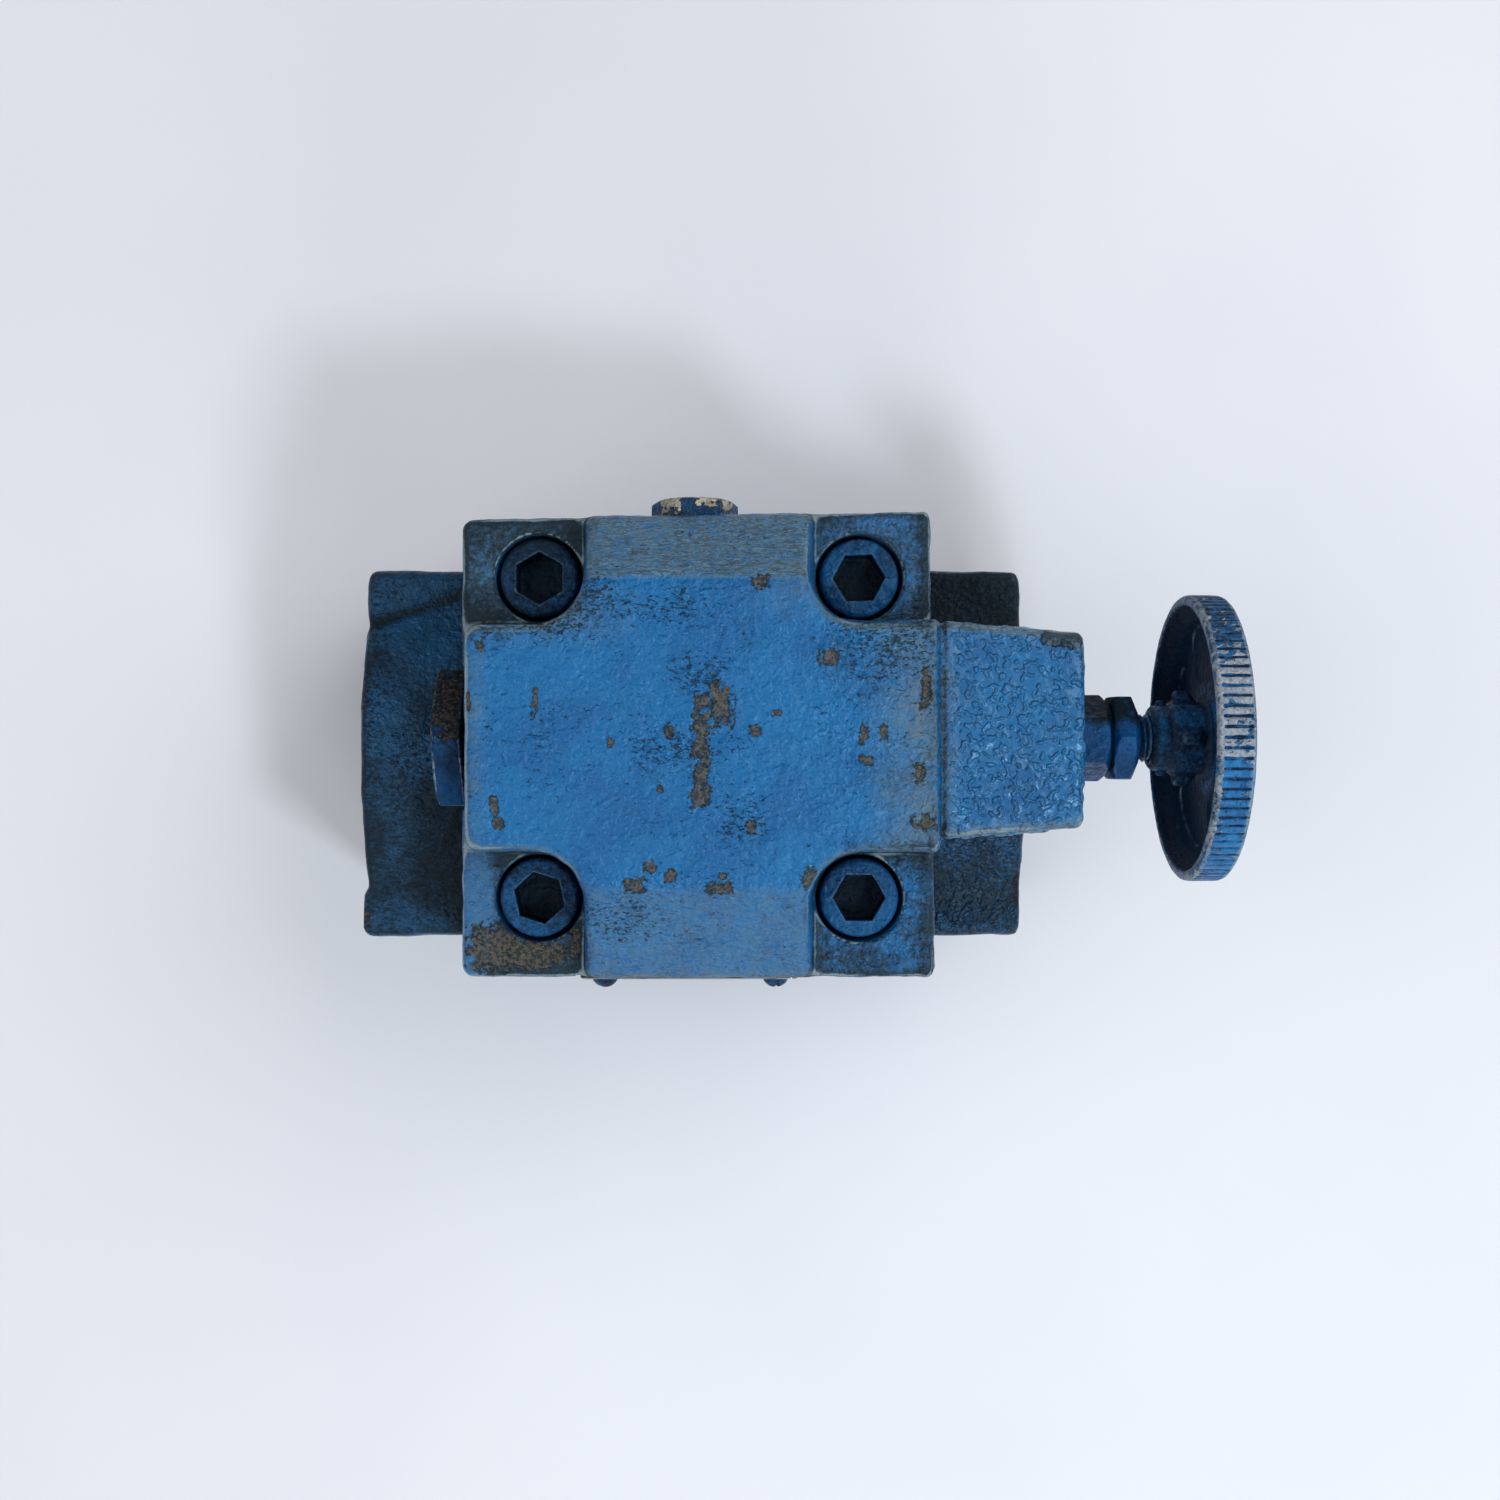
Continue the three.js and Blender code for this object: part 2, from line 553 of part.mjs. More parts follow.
function adjustingStem() {
  const { tip, plain, plainFrom, thread, threadFrom, end } = STEM;
  const groove = plain - STEM_GROOVE.depth;
  const profile = [
    [0, SPOOL.right + GAP],
    [tip, SPOOL.right + GAP],
    [plain, plainFrom],
    [plain, STEM_GROOVE.from],
    [groove, STEM_GROOVE.from],
    [groove, STEM_GROOVE.to],
    [plain, STEM_GROOVE.to],
    [plain, threadFrom],
    [thread, threadFrom + 0.6],
    [thread, HUB_FIT.from - 0.6],
    [HUB_FIT.r, HUB_FIT.from],
    [HUB_FIT.r, end - 0.6],
    [HUB_FIT.r - 0.6, end],
    [0, end],
  ];
  return cut(solidOf(turned(profile, SMALL)), pinHole());
}

// The gripping band: shallow flats between narrow grooves parallel to the axis.
function gripBand() {
  const { r, open, closed } = WHEEL;
  const band = new THREE.Shape();
  const root = r - GRIP.depth;
  for (let i = 0; i < GRIP.grooves; i++) {
    const [low, high] = [i, i + 0.5].map((turn) => (2 * Math.PI * turn) / GRIP.grooves);
    if (i === 0) band.moveTo(root * Math.cos(low), root * Math.sin(low));
    else band.lineTo(root * Math.cos(low), root * Math.sin(low));
    band.lineTo(r * Math.cos(high), r * Math.sin(high));
  }
  const depth = closed - open - 2.7;
  return new THREE.ExtrudeGeometry(band, { depth, bevelEnabled: false }).translate(0, 0, open + 1.2);
}

function handwheel() {
  const { r, rimWall, open, closed, web, facets } = WHEEL;
  const disc = [
    [0, open],
    [r, open],
    [r, open + 1.4],
    [r - 1, open + 1.4],
    [r - 1, closed - 1.3],
    [r - 2, closed],
    [0, closed],
  ];
  const dish = rod(r - rimWall, open - 1, closed - web, facets);
  const dished = cut(join(solidOf(turned(disc, facets)), gripBand()), dish);
  const start = HUB_FIT.from + 0.1;
  const inWeb = closed - web + 1;
  const hubProfile = [
    [0, start],
    [HUB.collar - 1.4, start],
    [HUB.collar, start + 1.4],
    [HUB.collar, HUB.collarEnd],
    [HUB.r, HUB.from],
    [HUB.r, inWeb],
    [0, inWeb],
  ];
  const lobe = { left: 0, right: LOBE.reach, front: -LOBE.half, back: LOBE.half };
  const lobes = [0, 1, 2, 3].map((i) => {
    const arm = softPrism(roundedRectangle(lobe, LOBE.corner), LOBE.from, inWeb, LOBE.edge);
    return arm.rotateZ((i * Math.PI) / 2);
  });
  const solid = join(dished, turned(hubProfile, SMALL), ...lobes);
  return cut(solid, rod(HUB_FIT.r + GAP, start - 4, closed + 5, SMALL), pinHole());
}

// ---- Pressure compensator ----
function compensatorSpool() {
  const { from, landTop, neck, upperLand, nose, bleed } = PISTON;
  const r = COMPENSATOR.bore - 0.1;
  const top = COMPENSATOR.outlet[1] + 8;
  const stop = JOINT_Z - 0.2;
  const profile = [
    [0, from],
    [r, from],
    [r, landTop],
    [neck, landTop],
    [neck, upperLand],
    [r, upperLand],
    [r, top],
    [nose, top],
    [nose, stop],
    [0, stop],
  ];
  const hollow = rod(SKIRT.r, from - 7, SKIRT.top, SMALL);
  return cut(solidOf(turned(profile)), hollow, rod(bleed, SKIRT.top - 1, JOINT_Z, 8));
}

// ---- Assembly ----
add(valve, 'main_body', mainBody(), bodyPaint);
add(valve, 'throttle_housing', throttleHousing(), bluePaint);
corners().forEach(([corner, x, y], i) => {
  const seat = DECK_Z - CAP.headHeight - CAP.sunk + GAP;
  const screw = capScrew(THREE.MathUtils.degToRad(SOCKET_SPINS[i]));
  add(valve, `cap_screw_${corner}`, screw, screwPaint, [x, y, seat]);
});
add(valve, 'locating_dowel', rod(DOWEL.r, DOWEL.from, DOWEL.to, SMALL), steel, [0, -BOLT, 0]);
const ringHeight = JOINT_Z - JOINT_GROOVE.depth / 2;
add(valve, 'inlet_passage_o_ring', oRing(...RISER_RING), rubber, [-RISER.x, 0, ringHeight]);
add(valve, 'outlet_passage_o_ring', oRing(...RISER_RING), rubber, [RISER.x, 0, ringHeight]);
add(valve, 'compensator_o_ring', oRing(...COMPENSATOR_RING), rubber, [0, 0, ringHeight]);

const { outer, wire, to, turns } = COMPENSATOR_SPRING;
const controlSpring = spring(outer, wire, COMPENSATOR.floor + 0.2, to, turns);
add(compensatorAxis, 'compensator_spool', compensatorSpool(), steel);
add(compensatorAxis, 'compensator_spring', controlSpring, springSteel);
const orifice = tube(ORIFICE.bore, ORIFICE.r, -ORIFICE.half, ORIFICE.half, 12).applyMatrix4(ALONG_X);
add(valve, 'damping_orifice', orifice, brass, [ORIFICE.x, PORT.y, SENSE.z]);

add(throttleAxis, 'bore_plug', borePlug(), bodyPaint);
add(throttleAxis, 'bore_plug_o_ring', oRing(...PLUG_RING), rubber, [0, 0, PLUG.seat + 1.7]);
const returnSpring = spring(
  THROTTLE_SPRING.outer,
  THROTTLE_SPRING.wire,
  PLUG_POCKET.end + 0.2,
  SPOOL.left - 0.2,
  THROTTLE_SPRING.turns,
);
add(throttleAxis, 'throttle_spring', returnSpring, springSteel);
add(throttleAxis, 'throttle_spool', throttleSpool(), steel);
add(throttleAxis, 'stem_gland', stemGland(), screwPaint);
add(throttleAxis, 'gland_o_ring', oRing(...GLAND_RING), rubber, [0, 0, BOSS.face - 1]);
const stemRingPlace = [0, 0, (STEM_GROOVE.from + STEM_GROOVE.to) / 2];
add(throttleAxis, 'stem_o_ring', oRing(...STEM_RING), rubber, stemRingPlace);
add(throttleAxis, 'lock_washer', tube(GLAND.bore, WASHER.r, WASHER.from, WASHER.to, SMALL), steel);
add(throttleAxis, 'lock_nut', lockNut(), screwPaint);
add(throttleAxis, 'adjusting_stem', adjustingStem(), screwPaint);
add(throttleAxis, 'handwheel', handwheel(), wheelPaint);
const pin = rod(PIN.r, -PIN.half, PIN.half, 12).rotateY(Math.PI / 2);
add(throttleAxis, 'wheel_pin', pin, steel, [0, 0, PIN.x]);

add(ventAxis, 'vent_plug', ventPlug(), screwPaint);
add(ventAxis, 'vent_plug_o_ring', oRing(...VENT_RING), rubber, [0, 0, VENT_RING_SEAT.from + 1]);

const plate = new THREE.Group(); // lies on the housing's front face, looking along -Y
plate.position.set(PLATE.x, PLATE.back, PLATE.z);
plate.rotation.x = Math.PI / 2;
valve.add(plate);
add(plate, 'nameplate', nameplate(), plateMetal);
add(plate, 'nameplate_screw_left', plateScrew(), screwPaint, [-PLATE.screw, 0, PLATE.thick + GAP]);
add(plate, 'nameplate_screw_right', plateScrew(), screwPaint, [PLATE.screw, 0, PLATE.thick + GAP]);

export default valve;
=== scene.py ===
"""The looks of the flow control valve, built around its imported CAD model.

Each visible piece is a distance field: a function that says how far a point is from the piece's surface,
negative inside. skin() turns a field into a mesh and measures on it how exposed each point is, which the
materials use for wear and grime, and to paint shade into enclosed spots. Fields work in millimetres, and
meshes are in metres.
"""

import json
import math

import bpy
import numpy as np
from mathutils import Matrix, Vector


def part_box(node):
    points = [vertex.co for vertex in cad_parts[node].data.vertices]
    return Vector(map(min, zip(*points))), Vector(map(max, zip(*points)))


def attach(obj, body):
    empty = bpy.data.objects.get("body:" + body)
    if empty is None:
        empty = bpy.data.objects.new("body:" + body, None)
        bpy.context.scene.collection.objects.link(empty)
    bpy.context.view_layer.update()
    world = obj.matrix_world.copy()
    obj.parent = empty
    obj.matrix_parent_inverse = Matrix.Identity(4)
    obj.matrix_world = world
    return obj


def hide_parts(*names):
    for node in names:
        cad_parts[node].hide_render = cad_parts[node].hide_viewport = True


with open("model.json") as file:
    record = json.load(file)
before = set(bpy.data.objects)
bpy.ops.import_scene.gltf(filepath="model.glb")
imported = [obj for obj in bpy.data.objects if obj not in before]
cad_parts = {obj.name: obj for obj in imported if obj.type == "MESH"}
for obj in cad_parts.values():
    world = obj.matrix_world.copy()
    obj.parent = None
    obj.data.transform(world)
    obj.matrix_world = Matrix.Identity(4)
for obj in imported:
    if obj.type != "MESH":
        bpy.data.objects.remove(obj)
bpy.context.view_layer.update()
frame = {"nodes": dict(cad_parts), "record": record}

MM = 0.001


def box_mm(node):
    """Lowest and highest corner of a CAD node, in millimetres."""
    return tuple(np.array(corner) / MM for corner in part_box(node))


HOUSING_LOW, HOUSING_HIGH = box_mm("throttle_housing")
BODY_LOW, BODY_HIGH = box_mm("main_body")
WHEEL_LOW, WHEEL_HIGH = box_mm("handwheel")
JOINT = BODY_HIGH[2]
AXIS = (WHEEL_LOW[2] + WHEEL_HIGH[2]) / 2
BOLT = 36.5


# ---- Distance fields ----
def length(*parts):
    return np.sqrt(sum(part * part for part in parts))


def soft_min(a, b, k):
    """Union of two fields with a fillet that grows with k."""
    h = np.clip(k - np.abs(a - b), 0, None) / k
    return np.minimum(a, b) - h * h * k / 4


def soft_max(a, b, k):
    """What two fields share, with the edge between them rounded."""
    return -soft_min(-a, -b, k)


def cut(a, b, k=0.4):
    """Field a with field b taken out."""
    return soft_max(a, -b, k)


def slab(u, low, high):
    return np.maximum(low - u, u - high)


def rectangle(u, v, half_u, half_v, corner):
    qu, qv = np.abs(u) - half_u + corner, np.abs(v) - half_v + corner
    return length(np.clip(qu, 0, None), np.clip(qv, 0, None)) + np.minimum(np.maximum(qu, qv), 0) - corner


def hexagon(u, v, across_flats, turn):
    """A hexagon with a flat facing the direction turn degrees round from u."""
    angles = [math.radians(turn + 60 * i) for i in range(3)]
    sides = [np.abs(u * math.cos(a) + v * math.sin(a)) for a in angles]
    return np.maximum(np.maximum(sides[0], sides[1]), sides[2]) - across_flats / 2


def rod(u, v, w, radius, low, high, edge=0.4):
    return soft_max(length(u, v) - radius, slab(w, low, high), edge)


def cone(r, w, r0, w0, degrees):
    """A cone through radius r0 at height w0, leaning by degrees from the flat, open towards lower w."""
    a = math.radians(degrees)
    return (r - r0) * math.sin(a) + (w - w0) * math.cos(a)


def ramp(value, low, high):
    t = np.clip((value - low) / (high - low), 0, 1)
    return t * t * (3 - 2 * t)


def softplus(u, s):
    return s * np.logaddexp(0, u / s)


def hashed(i, j, k, seed):
    h = (i * 73856093) ^ (j * 19349663) ^ (k * 83492791) ^ (seed * 2654435761)
    h = (h ^ (h >> 13)) * 1274126177 & 0xFFFFFFFF
    h = (h ^ (h >> 16)) * 668265263 & 0xFFFFFFFF
    return ((h ^ (h >> 15)) & 0xFFFF) / 32768.0 - 1.0


def lumps(p, size, seed=0):
    """Smooth noise from -1 to 1 at each point, with lumps about size across."""
    q = p @ LUMP_TURN / size + 100.0
    cell = np.floor(q).astype(np.int64)
    t = q - cell
    t = t * t * t * (t * (t * 6 - 15) + 10)
    total = 0
    for i in (0, 1):
        for j in (0, 1):
            for k in (0, 1):
                weight = (
                    (t[:, 0] if i else 1 - t[:, 0])
                    * (t[:, 1] if j else 1 - t[:, 1])
                    * (t[:, 2] if k else 1 - t[:, 2])
                )
                total = total + weight * hashed(cell[:, 0] + i, cell[:, 1] + j, cell[:, 2] + k, seed)
    return total


# Turns the noise's grid off the axes, so that its cells don't line up with flat faces.
LUMP_TURN = np.array([[0.36, 0.48, -0.8], [-0.8, 0.6, 0.0], [0.48, 0.64, 0.6]])


# ---- From fields to meshes ----
def slope(field, p, reach=0.05):
    """The field's gradient at each point."""
    columns = []
    for axis in range(3):
        ahead, behind = p.copy(), p.copy()
        ahead[:, axis] += reach
        behind[:, axis] -= reach
        columns.append((field(*ahead.T) - field(*behind.T)) / (2 * reach))
    return np.stack(columns, axis=1)


def net(field, low, high, step):
    """Points and four-sided faces on the field's zero surface: one point in each grid cell it crosses."""
    low = np.array(low, dtype=float) - 1.6 * step
    high = np.array(high, dtype=float) + 1.6 * step
    counts = np.ceil((high - low) / step).astype(int) + 1
    axes = [(low[i] + step * np.arange(counts[i])).astype(np.float32) for i in range(3)]
    grid = np.meshgrid(*axes, indexing="ij", sparse=True)
    values = np.broadcast_to(field(*grid), counts).astype(np.float32)
    inside = values < 0
    total = np.zeros((*(counts - 1), 3), dtype=np.float32)
    hits = np.zeros(counts - 1, dtype=np.float32)
    edges = []
    for axis in range(3):
        second, third = (axis + 1) % 3, (axis + 2) % 3
        near, far = [slice(None)] * 3, [slice(None)] * 3
        near[axis], far[axis] = slice(0, -1), slice(1, None)
        near, far = tuple(near), tuple(far)
        hit = inside[near] != inside[far]
        gap = np.where(hit, values[near] - values[far], 1)
        where = np.where(hit, values[near] / gap, 0)
        for a in (0, 1):
            for b in (0, 1):
                part = [slice(None)] * 3
                part[second] = slice(a, counts[second] - 1 + a)
                part[third] = slice(b, counts[third] - 1 + b)
                part = tuple(part)
                hits += hit[part]
                total[..., axis] += where[part]
                total[..., second] += a * hit[part]
                total[..., third] += b * hit[part]
        edges.append((axis, second, third, np.argwhere(hit), inside[near][hit]))
    active = hits > 0
    number = np.full(active.shape, -1, dtype=np.int64)
    number[active] = np.arange(np.count_nonzero(active))
    points = low + step * (np.argwhere(active) + total[active] / hits[active][:, None])
    faces = []
    for _, second, third, at, outward in edges:
        corners = []
        for a, b in ((1, 1), (0, 1), (0, 0), (1, 0)):
            cell = at.copy()
            cell[:, second] -= a
            cell[:, third] -= b
            corners.append(number[tuple(cell.T)])
        quads = np.stack(corners, axis=1)
        faces.append(np.where(outward[:, None], quads, quads[:, ::-1]))
    return points, np.concatenate(faces)


def mesh_object(name, points, faces, marks):
    """A smooth-shaded mesh object with one float attribute for each entry of marks."""
    mesh = bpy.data.meshes.new(name)
    mesh.vertices.add(len(points))
    mesh.vertices.foreach_set("co", (points * MM).astype(np.float32).ravel())
    mesh.loops.add(faces.size)
    mesh.loops.foreach_set("vertex_index", faces.astype(np.int32).ravel())
    mesh.polygons.add(len(faces))
    mesh.polygons.foreach_set("loop_start", np.arange(0, faces.size, 4, dtype=np.int32))
    mesh.update(calc_edges=True)
    mesh.validate()
    mesh.shade_smooth()
    for key, values in marks.items():
        layer = mesh.attributes.new(key, "FLOAT", "POINT")
        layer.data.foreach_set("value", np.asarray(values, dtype=np.float32))
    obj = bpy.data.objects.new(name, mesh)
    bpy.context.scene.collection.objects.link(obj)
    return obj


def skin(name, field, low, high, step, reach=1.0, relief=None, marks=None):
    """Meshes a field. The marks "edge" and "hollow" say how convex and how enclosed each point is, 0 to 1.

    relief(points, normals, marks) gives how far each point stands proud.
    marks(points, normals) gives more marks.
    """
    points, faces = net(field, low, high, step)
    for _ in range(3):
        g = slope(field, points)
        move = (field(*points.T) / np.maximum((g * g).sum(1), 0.05))[:, None] * g
        size = np.maximum(length(*move.T), 1e-9)
        points = points - move * np.minimum(1, 0.5 * step / size)[:, None]
    g = slope(field, points)
    normals = g / np.maximum(length(*g.T), 1e-6)[:, None]

    def depth(distance):
        return field(*(points + normals * distance).T) / distance

    found = {
        "edge": np.clip(2.5 * (1 - depth(-reach)), 0, 1),
        "hollow": np.clip(1.6 * (1 - (depth(reach) + depth(4 * reach)) / 2), 0, 1),
    }
    if marks:
        found.update(marks(points, normals))
    if relief:
        points = points + normals * relief(points, normals, found)[:, None]
    return mesh_object(name, points, faces, found)


# ---- Materials ----
class Shading:
    """Builds one material's nodes. Positions reach the textures in millimetres."""

    def __init__(self, name):
        self.material = bpy.data.materials.new(name)
        self.material.use_nodes = True
        self.tree = self.material.node_tree
        self.tree.nodes.clear()
        self.shader = self.tree.nodes.new("ShaderNodeBsdfPrincipled")
        output = self.tree.nodes.new("ShaderNodeOutputMaterial")
        self.tree.links.new(self.shader.outputs["BSDF"], output.inputs["Surface"])
        place = self.tree.nodes.new("ShaderNodeTexCoord").outputs["Object"]
        self.place = self.scaled(place, (1000, 1000, 1000))

    def put(self, socket, value):
        if isinstance(value, bpy.types.NodeSocket):
            self.tree.links.new(value, socket)
        elif isinstance(value, tuple) and len(value) == 3 and socket.type == "RGBA":
            socket.default_value = (*value, 1)
        else:
            socket.default_value = value

    def scaled(self, vector, scale):
        node = self.tree.nodes.new("ShaderNodeVectorMath")
        node.operation = "MULTIPLY"
        self.put(node.inputs[0], vector)
        self.put(node.inputs[1], scale)
        return node.outputs[0]

    def math(self, operation, a, b=0.0, clamp=False):
        node = self.tree.nodes.new("ShaderNodeMath")
        node.operation, node.use_clamp = operation, clamp
        self.put(node.inputs[0], a)
        self.put(node.inputs[1], b)
        return node.outputs[0]

    def add(self, *values):
        total = values[0]
        for value in values[1:]:
            total = self.math("ADD", total, value)
        return total

    def times(self, a, b):
        return self.math("MULTIPLY", a, b)

    def mark(self, name):
        node = self.tree.nodes.new("ShaderNodeAttribute")
        node.attribute_name = name
        return node.outputs["Fac"]

    def noise(self, size, detail=3.0, rough=0.55, stretch=(1, 1, 1), distort=0.0):
        """Noise from 0 to 1 with features about size millimetres across, longer by stretch."""
        node = self.tree.nodes.new("ShaderNodeTexNoise")
        self.put(node.inputs["Vector"], self.scaled(self.place, tuple(1 / s for s in stretch)))
        self.put(node.inputs["Scale"], 1 / size)
        self.put(node.inputs["Detail"], detail)
        self.put(node.inputs["Roughness"], rough)
        self.put(node.inputs["Distortion"], distort)
        return node.outputs["Fac"]

    def flakes(self, size):
        """A random level from 0 to 1 for each of many straight-sided cells about size millimetres across."""
        node = self.tree.nodes.new("ShaderNodeTexVoronoi")
        self.put(node.inputs["Vector"], self.place)
        self.put(node.inputs["Scale"], 1 / size)
        return node.outputs["Color"]

    def band(self, value, low, high, to_low=0.0, to_high=1.0):
        """A smooth step from to_low to to_high as value goes from low to high."""
        node = self.tree.nodes.new("ShaderNodeMapRange")
        node.interpolation_type = "SMOOTHSTEP"
        for socket, number in zip(node.inputs, (value, low, high, to_low, to_high)):
            self.put(socket, number)
        return node.outputs["Result"]

    def mix(self, share, a, b):
        node = self.tree.nodes.new("ShaderNodeMix")
        node.data_type = "RGBA"
        self.put(node.inputs["Factor"], share)
        self.put(node.inputs[6], a)
        self.put(node.inputs[7], b)
        return node.outputs[2]

    def bump(self, height, distance):
        """distance is in millimetres."""
        node = self.tree.nodes.new("ShaderNodeBump")
        self.put(node.inputs["Height"], height)
        node.inputs["Distance"].default_value = distance * MM
        node.inputs["Strength"].default_value = 1.0
        return node.outputs["Normal"]

    def finish(self, colour, roughness, normal=None, metallic=0.0, **fixed):
        self.put(self.shader.inputs["Base Color"], colour)
        self.put(self.shader.inputs["Roughness"], roughness)
        self.put(self.shader.inputs["Metallic"], metallic)
        if normal:
            self.put(self.shader.inputs["Normal"], normal)
        for key, value in fixed.items():
            self.put(self.shader.inputs[key.replace("_", " ")], value)
        return self.material


def rgb(red, green, blue):
    """A screen colour from 0 to 255 as linear light."""
    shares = (red / 255, green / 255, blue / 255)
    return tuple(c / 12.92 if c <= 0.04045 else ((c + 0.055) / 1.055) ** 2.4 for c in shares)


# What shows where paint is gone, in three colours each, then settled dust and the tint of reflections.
RUST = (rgb(40, 46, 46), rgb(82, 74, 64), rgb(114, 97, 78))
BLACK = (rgb(20, 20, 24), rgb(54, 48, 44), rgb(92, 82, 74))
PRIMER = (rgb(150, 142, 128), rgb(186, 178, 162), rgb(96, 84, 70))
BARE = (rgb(132, 140, 152), rgb(158, 164, 174), rgb(84, 98, 116))
DUST = rgb(92, 108, 112)
COOL = (0.6, 0.86, 1.0)


def paint(
    name, colour, deep, pale, wear, dirt, gloss, peel,
    under=RUST, soil=rgb(14, 22, 26), outline=0.9, shine=0.5, patchy=1.1,
):
    """Sprayed paint over a casting: pale along its edges, chipped to what is under it, and dulled by grime
    and painted shade.

    It reads the marks edge, rub, hollow, chip, grime, dust, pale, speck, bruise and peel, each 0 on a piece
    without it; hollow and grime also darken with painted shade, and pale and rub lighten with painted light.
    under holds the three colours that show where the paint is gone.
    """
    s = Shading(name)
    fine = s.noise(0.4, 4, 0.6)
    middle = s.noise(1.7, 4, 0.62)
    broad = s.noise(13, 3, 0.5)
    grain = s.noise(1.05, 2.0, 0.5, distort=0.6)
    streak = s.noise(0.6, 3, 0.65, stretch=(4.5, 1, 1), distort=0.8)

    base = s.mix(s.band(broad, 0.34, 0.66), colour, deep)
    base = s.mix(s.times(s.band(middle, 0.35, 0.7), 0.3), base, deep)
    base = s.mix(s.times(s.mark("dust"), s.band(s.add(fine, middle), 0.75, 1.2, 0.3, 0.95)), base, DUST)
    # Painted light where the pale mark lies, crossed by the darker streaks of the surface there.
    base = s.mix(s.times(s.mark("pale"), s.band(streak, 0.38, 0.56, 0.1, 1)), base, pale)
    base = s.mix(s.times(s.mark("pale"), s.band(streak, 0.5, 0.57, 0, 0.85)), base, rgb(34, 62, 80))

    # Grime lies as an even film and gathers in the low spots of the texture. Enclosed spots (the hollow mark)
    # get painted shade in the same dark colour.
    film = s.add(s.times(s.mark("grime"), 0.9), s.times(s.mark("hollow"), 0.75), dirt)
    low = s.add(s.times(grain, -0.8), s.times(fine, -0.5), s.times(s.add(middle, broad), 0.75), 0.2)
    soiled_and_shaded = s.band(s.add(film, s.times(low, patchy)), 0.42, 1.25)
    base = s.mix(s.times(soiled_and_shaded, 0.95), base, soil)

    # Paler along edges and where handling has rubbed the paint, plus a painted highlight that the rub mark
    # carries; beyond that, bare grey metal shows.
    wear_and_highlight = s.add(s.times(s.mark("edge"), 0.8), s.mark("rub"))
    wear_and_highlight = s.add(wear_and_highlight, s.times(middle, 0.6), s.times(fine, 0.3), -0.45)
    base = s.mix(s.times(s.band(wear_and_highlight, 0.6, 0.95), wear), base, pale)
    worn_and_glinting = s.band(s.add(wear_and_highlight, s.times(s.noise(6, 2), 0.6)), 1.15, 1.3)
    base = s.mix(s.times(worn_and_glinting, wear), base, rgb(140, 152, 158))

    # Flakes come away in straight-sided bits, with a dark line of lifting paint round them.
    ragged = s.add(s.times(s.flakes(1.3), 0.6), s.times(s.noise(0.7, 3, 0.7), 0.6))
    ragged = s.add(ragged, s.times(middle, 0.4), -0.8)
    chip = s.add(s.mark("chip"), s.times(s.times(ragged, 1.1), s.band(s.mark("chip"), 0, 0.25)))
    bare = s.band(chip, 0.5, 0.53)
    ground = s.mix(s.band(s.noise(1.1, 3, 0.7), 0.46, 0.54), under[0], under[1])
    ground = s.mix(s.times(s.band(s.noise(0.7, 3, 0.7), 0.54, 0.66), 0.7), ground, under[2])
    base = s.mix(s.times(s.band(chip, 0.3, 0.44), 0.4), base, rgb(14, 30, 46))
    base = s.mix(s.times(bare, 0.95), base, ground)
    rim = s.math("SUBTRACT", s.band(chip, 0.4, 0.46), s.band(chip, 0.54, 0.64))
    base = s.mix(s.times(rim, outline), base, rgb(14, 24, 32))

    pit = s.add(s.noise(0.7, 3, 0.7, stretch=(1.7, 1, 1), distort=0.8), s.times(s.mark("speck"), 0.15))
    pit = s.band(s.add(pit, s.times(broad, 0.12)), 0.72, 0.76)
    base = s.mix(s.times(pit, 0.9), base, rgb(10, 20, 34))
    lifted = s.add(s.mark("bruise"), s.times(s.noise(1.6, 3, 0.6), 0.3), -0.15)
    base = s.mix(s.band(lifted, 0.4, 0.5), base, rgb(12, 24, 36))
    base = s.mix(s.band(lifted, 0.52, 0.58), base, rgb(44, 60, 74))

    rough = s.add(gloss, s.times(soiled_and_shaded, 0.3), s.times(bare, 0.4), s.times(fine, 0.08))
    rough = s.add(rough, s.times(s.mark("pale"), 0.2), s.times(s.mark("dust"), 0.25))
    rough = s.math("ADD", rough, s.times(s.mark("peel"), -0.05), clamp=True)
    # A sprayed surface has small blobs, and where it is marked peel, bigger drops on a calmer ground.
    drops = s.times(s.band(s.noise(1.6, 1.0, 0.4, distort=0.3), 0.46, 0.68), s.times(s.mark("peel"), 3.0))
    calm = s.math("SUBTRACT", 1.0, s.times(s.mark("peel"), 0.75))
    blobs = s.times(s.band(grain, 0.4, 0.62), s.times(calm, peel))
    swell = s.noise(2.4, 1.5, 0.5, distort=0.5)
    height = s.add(s.times(fine, 0.15), s.times(middle, 2.4), s.times(swell, 3.4))
    height = s.add(s.times(height, calm), blobs, drops, s.times(pit, -0.9), s.times(bare, -0.7))
    height = s.add(height, s.times(s.times(streak, s.mark("pale")), 5.0))
    return s.finish(base, rough, s.bump(height, 0.22), Specular_IOR_Level=shine, Specular_Tint=COOL)


def bare_metal(name, colour, dull, gloss, grain=(1, 1, 1)):
    """Machined metal with fine tool marks, dull patches, and dark residue with painted shade in its hollows.
    """
    s = Shading(name)
    lines = s.noise(0.35, 3, 0.6, stretch=grain)
    patch = s.noise(4, 4, 0.6)
    base = s.mix(s.band(patch, 0.35, 0.7), colour, dull)
    # Painted shade, with residue: enclosed spots are darkened towards black.
    base = s.mix(s.times(s.mark("hollow"), 0.6), base, rgb(20, 20, 22))
    rough = s.add(gloss, s.times(patch, 0.2), s.times(lines, 0.12))
    return s.finish(base, rough, s.bump(lines, 0.02), metallic=1.0)


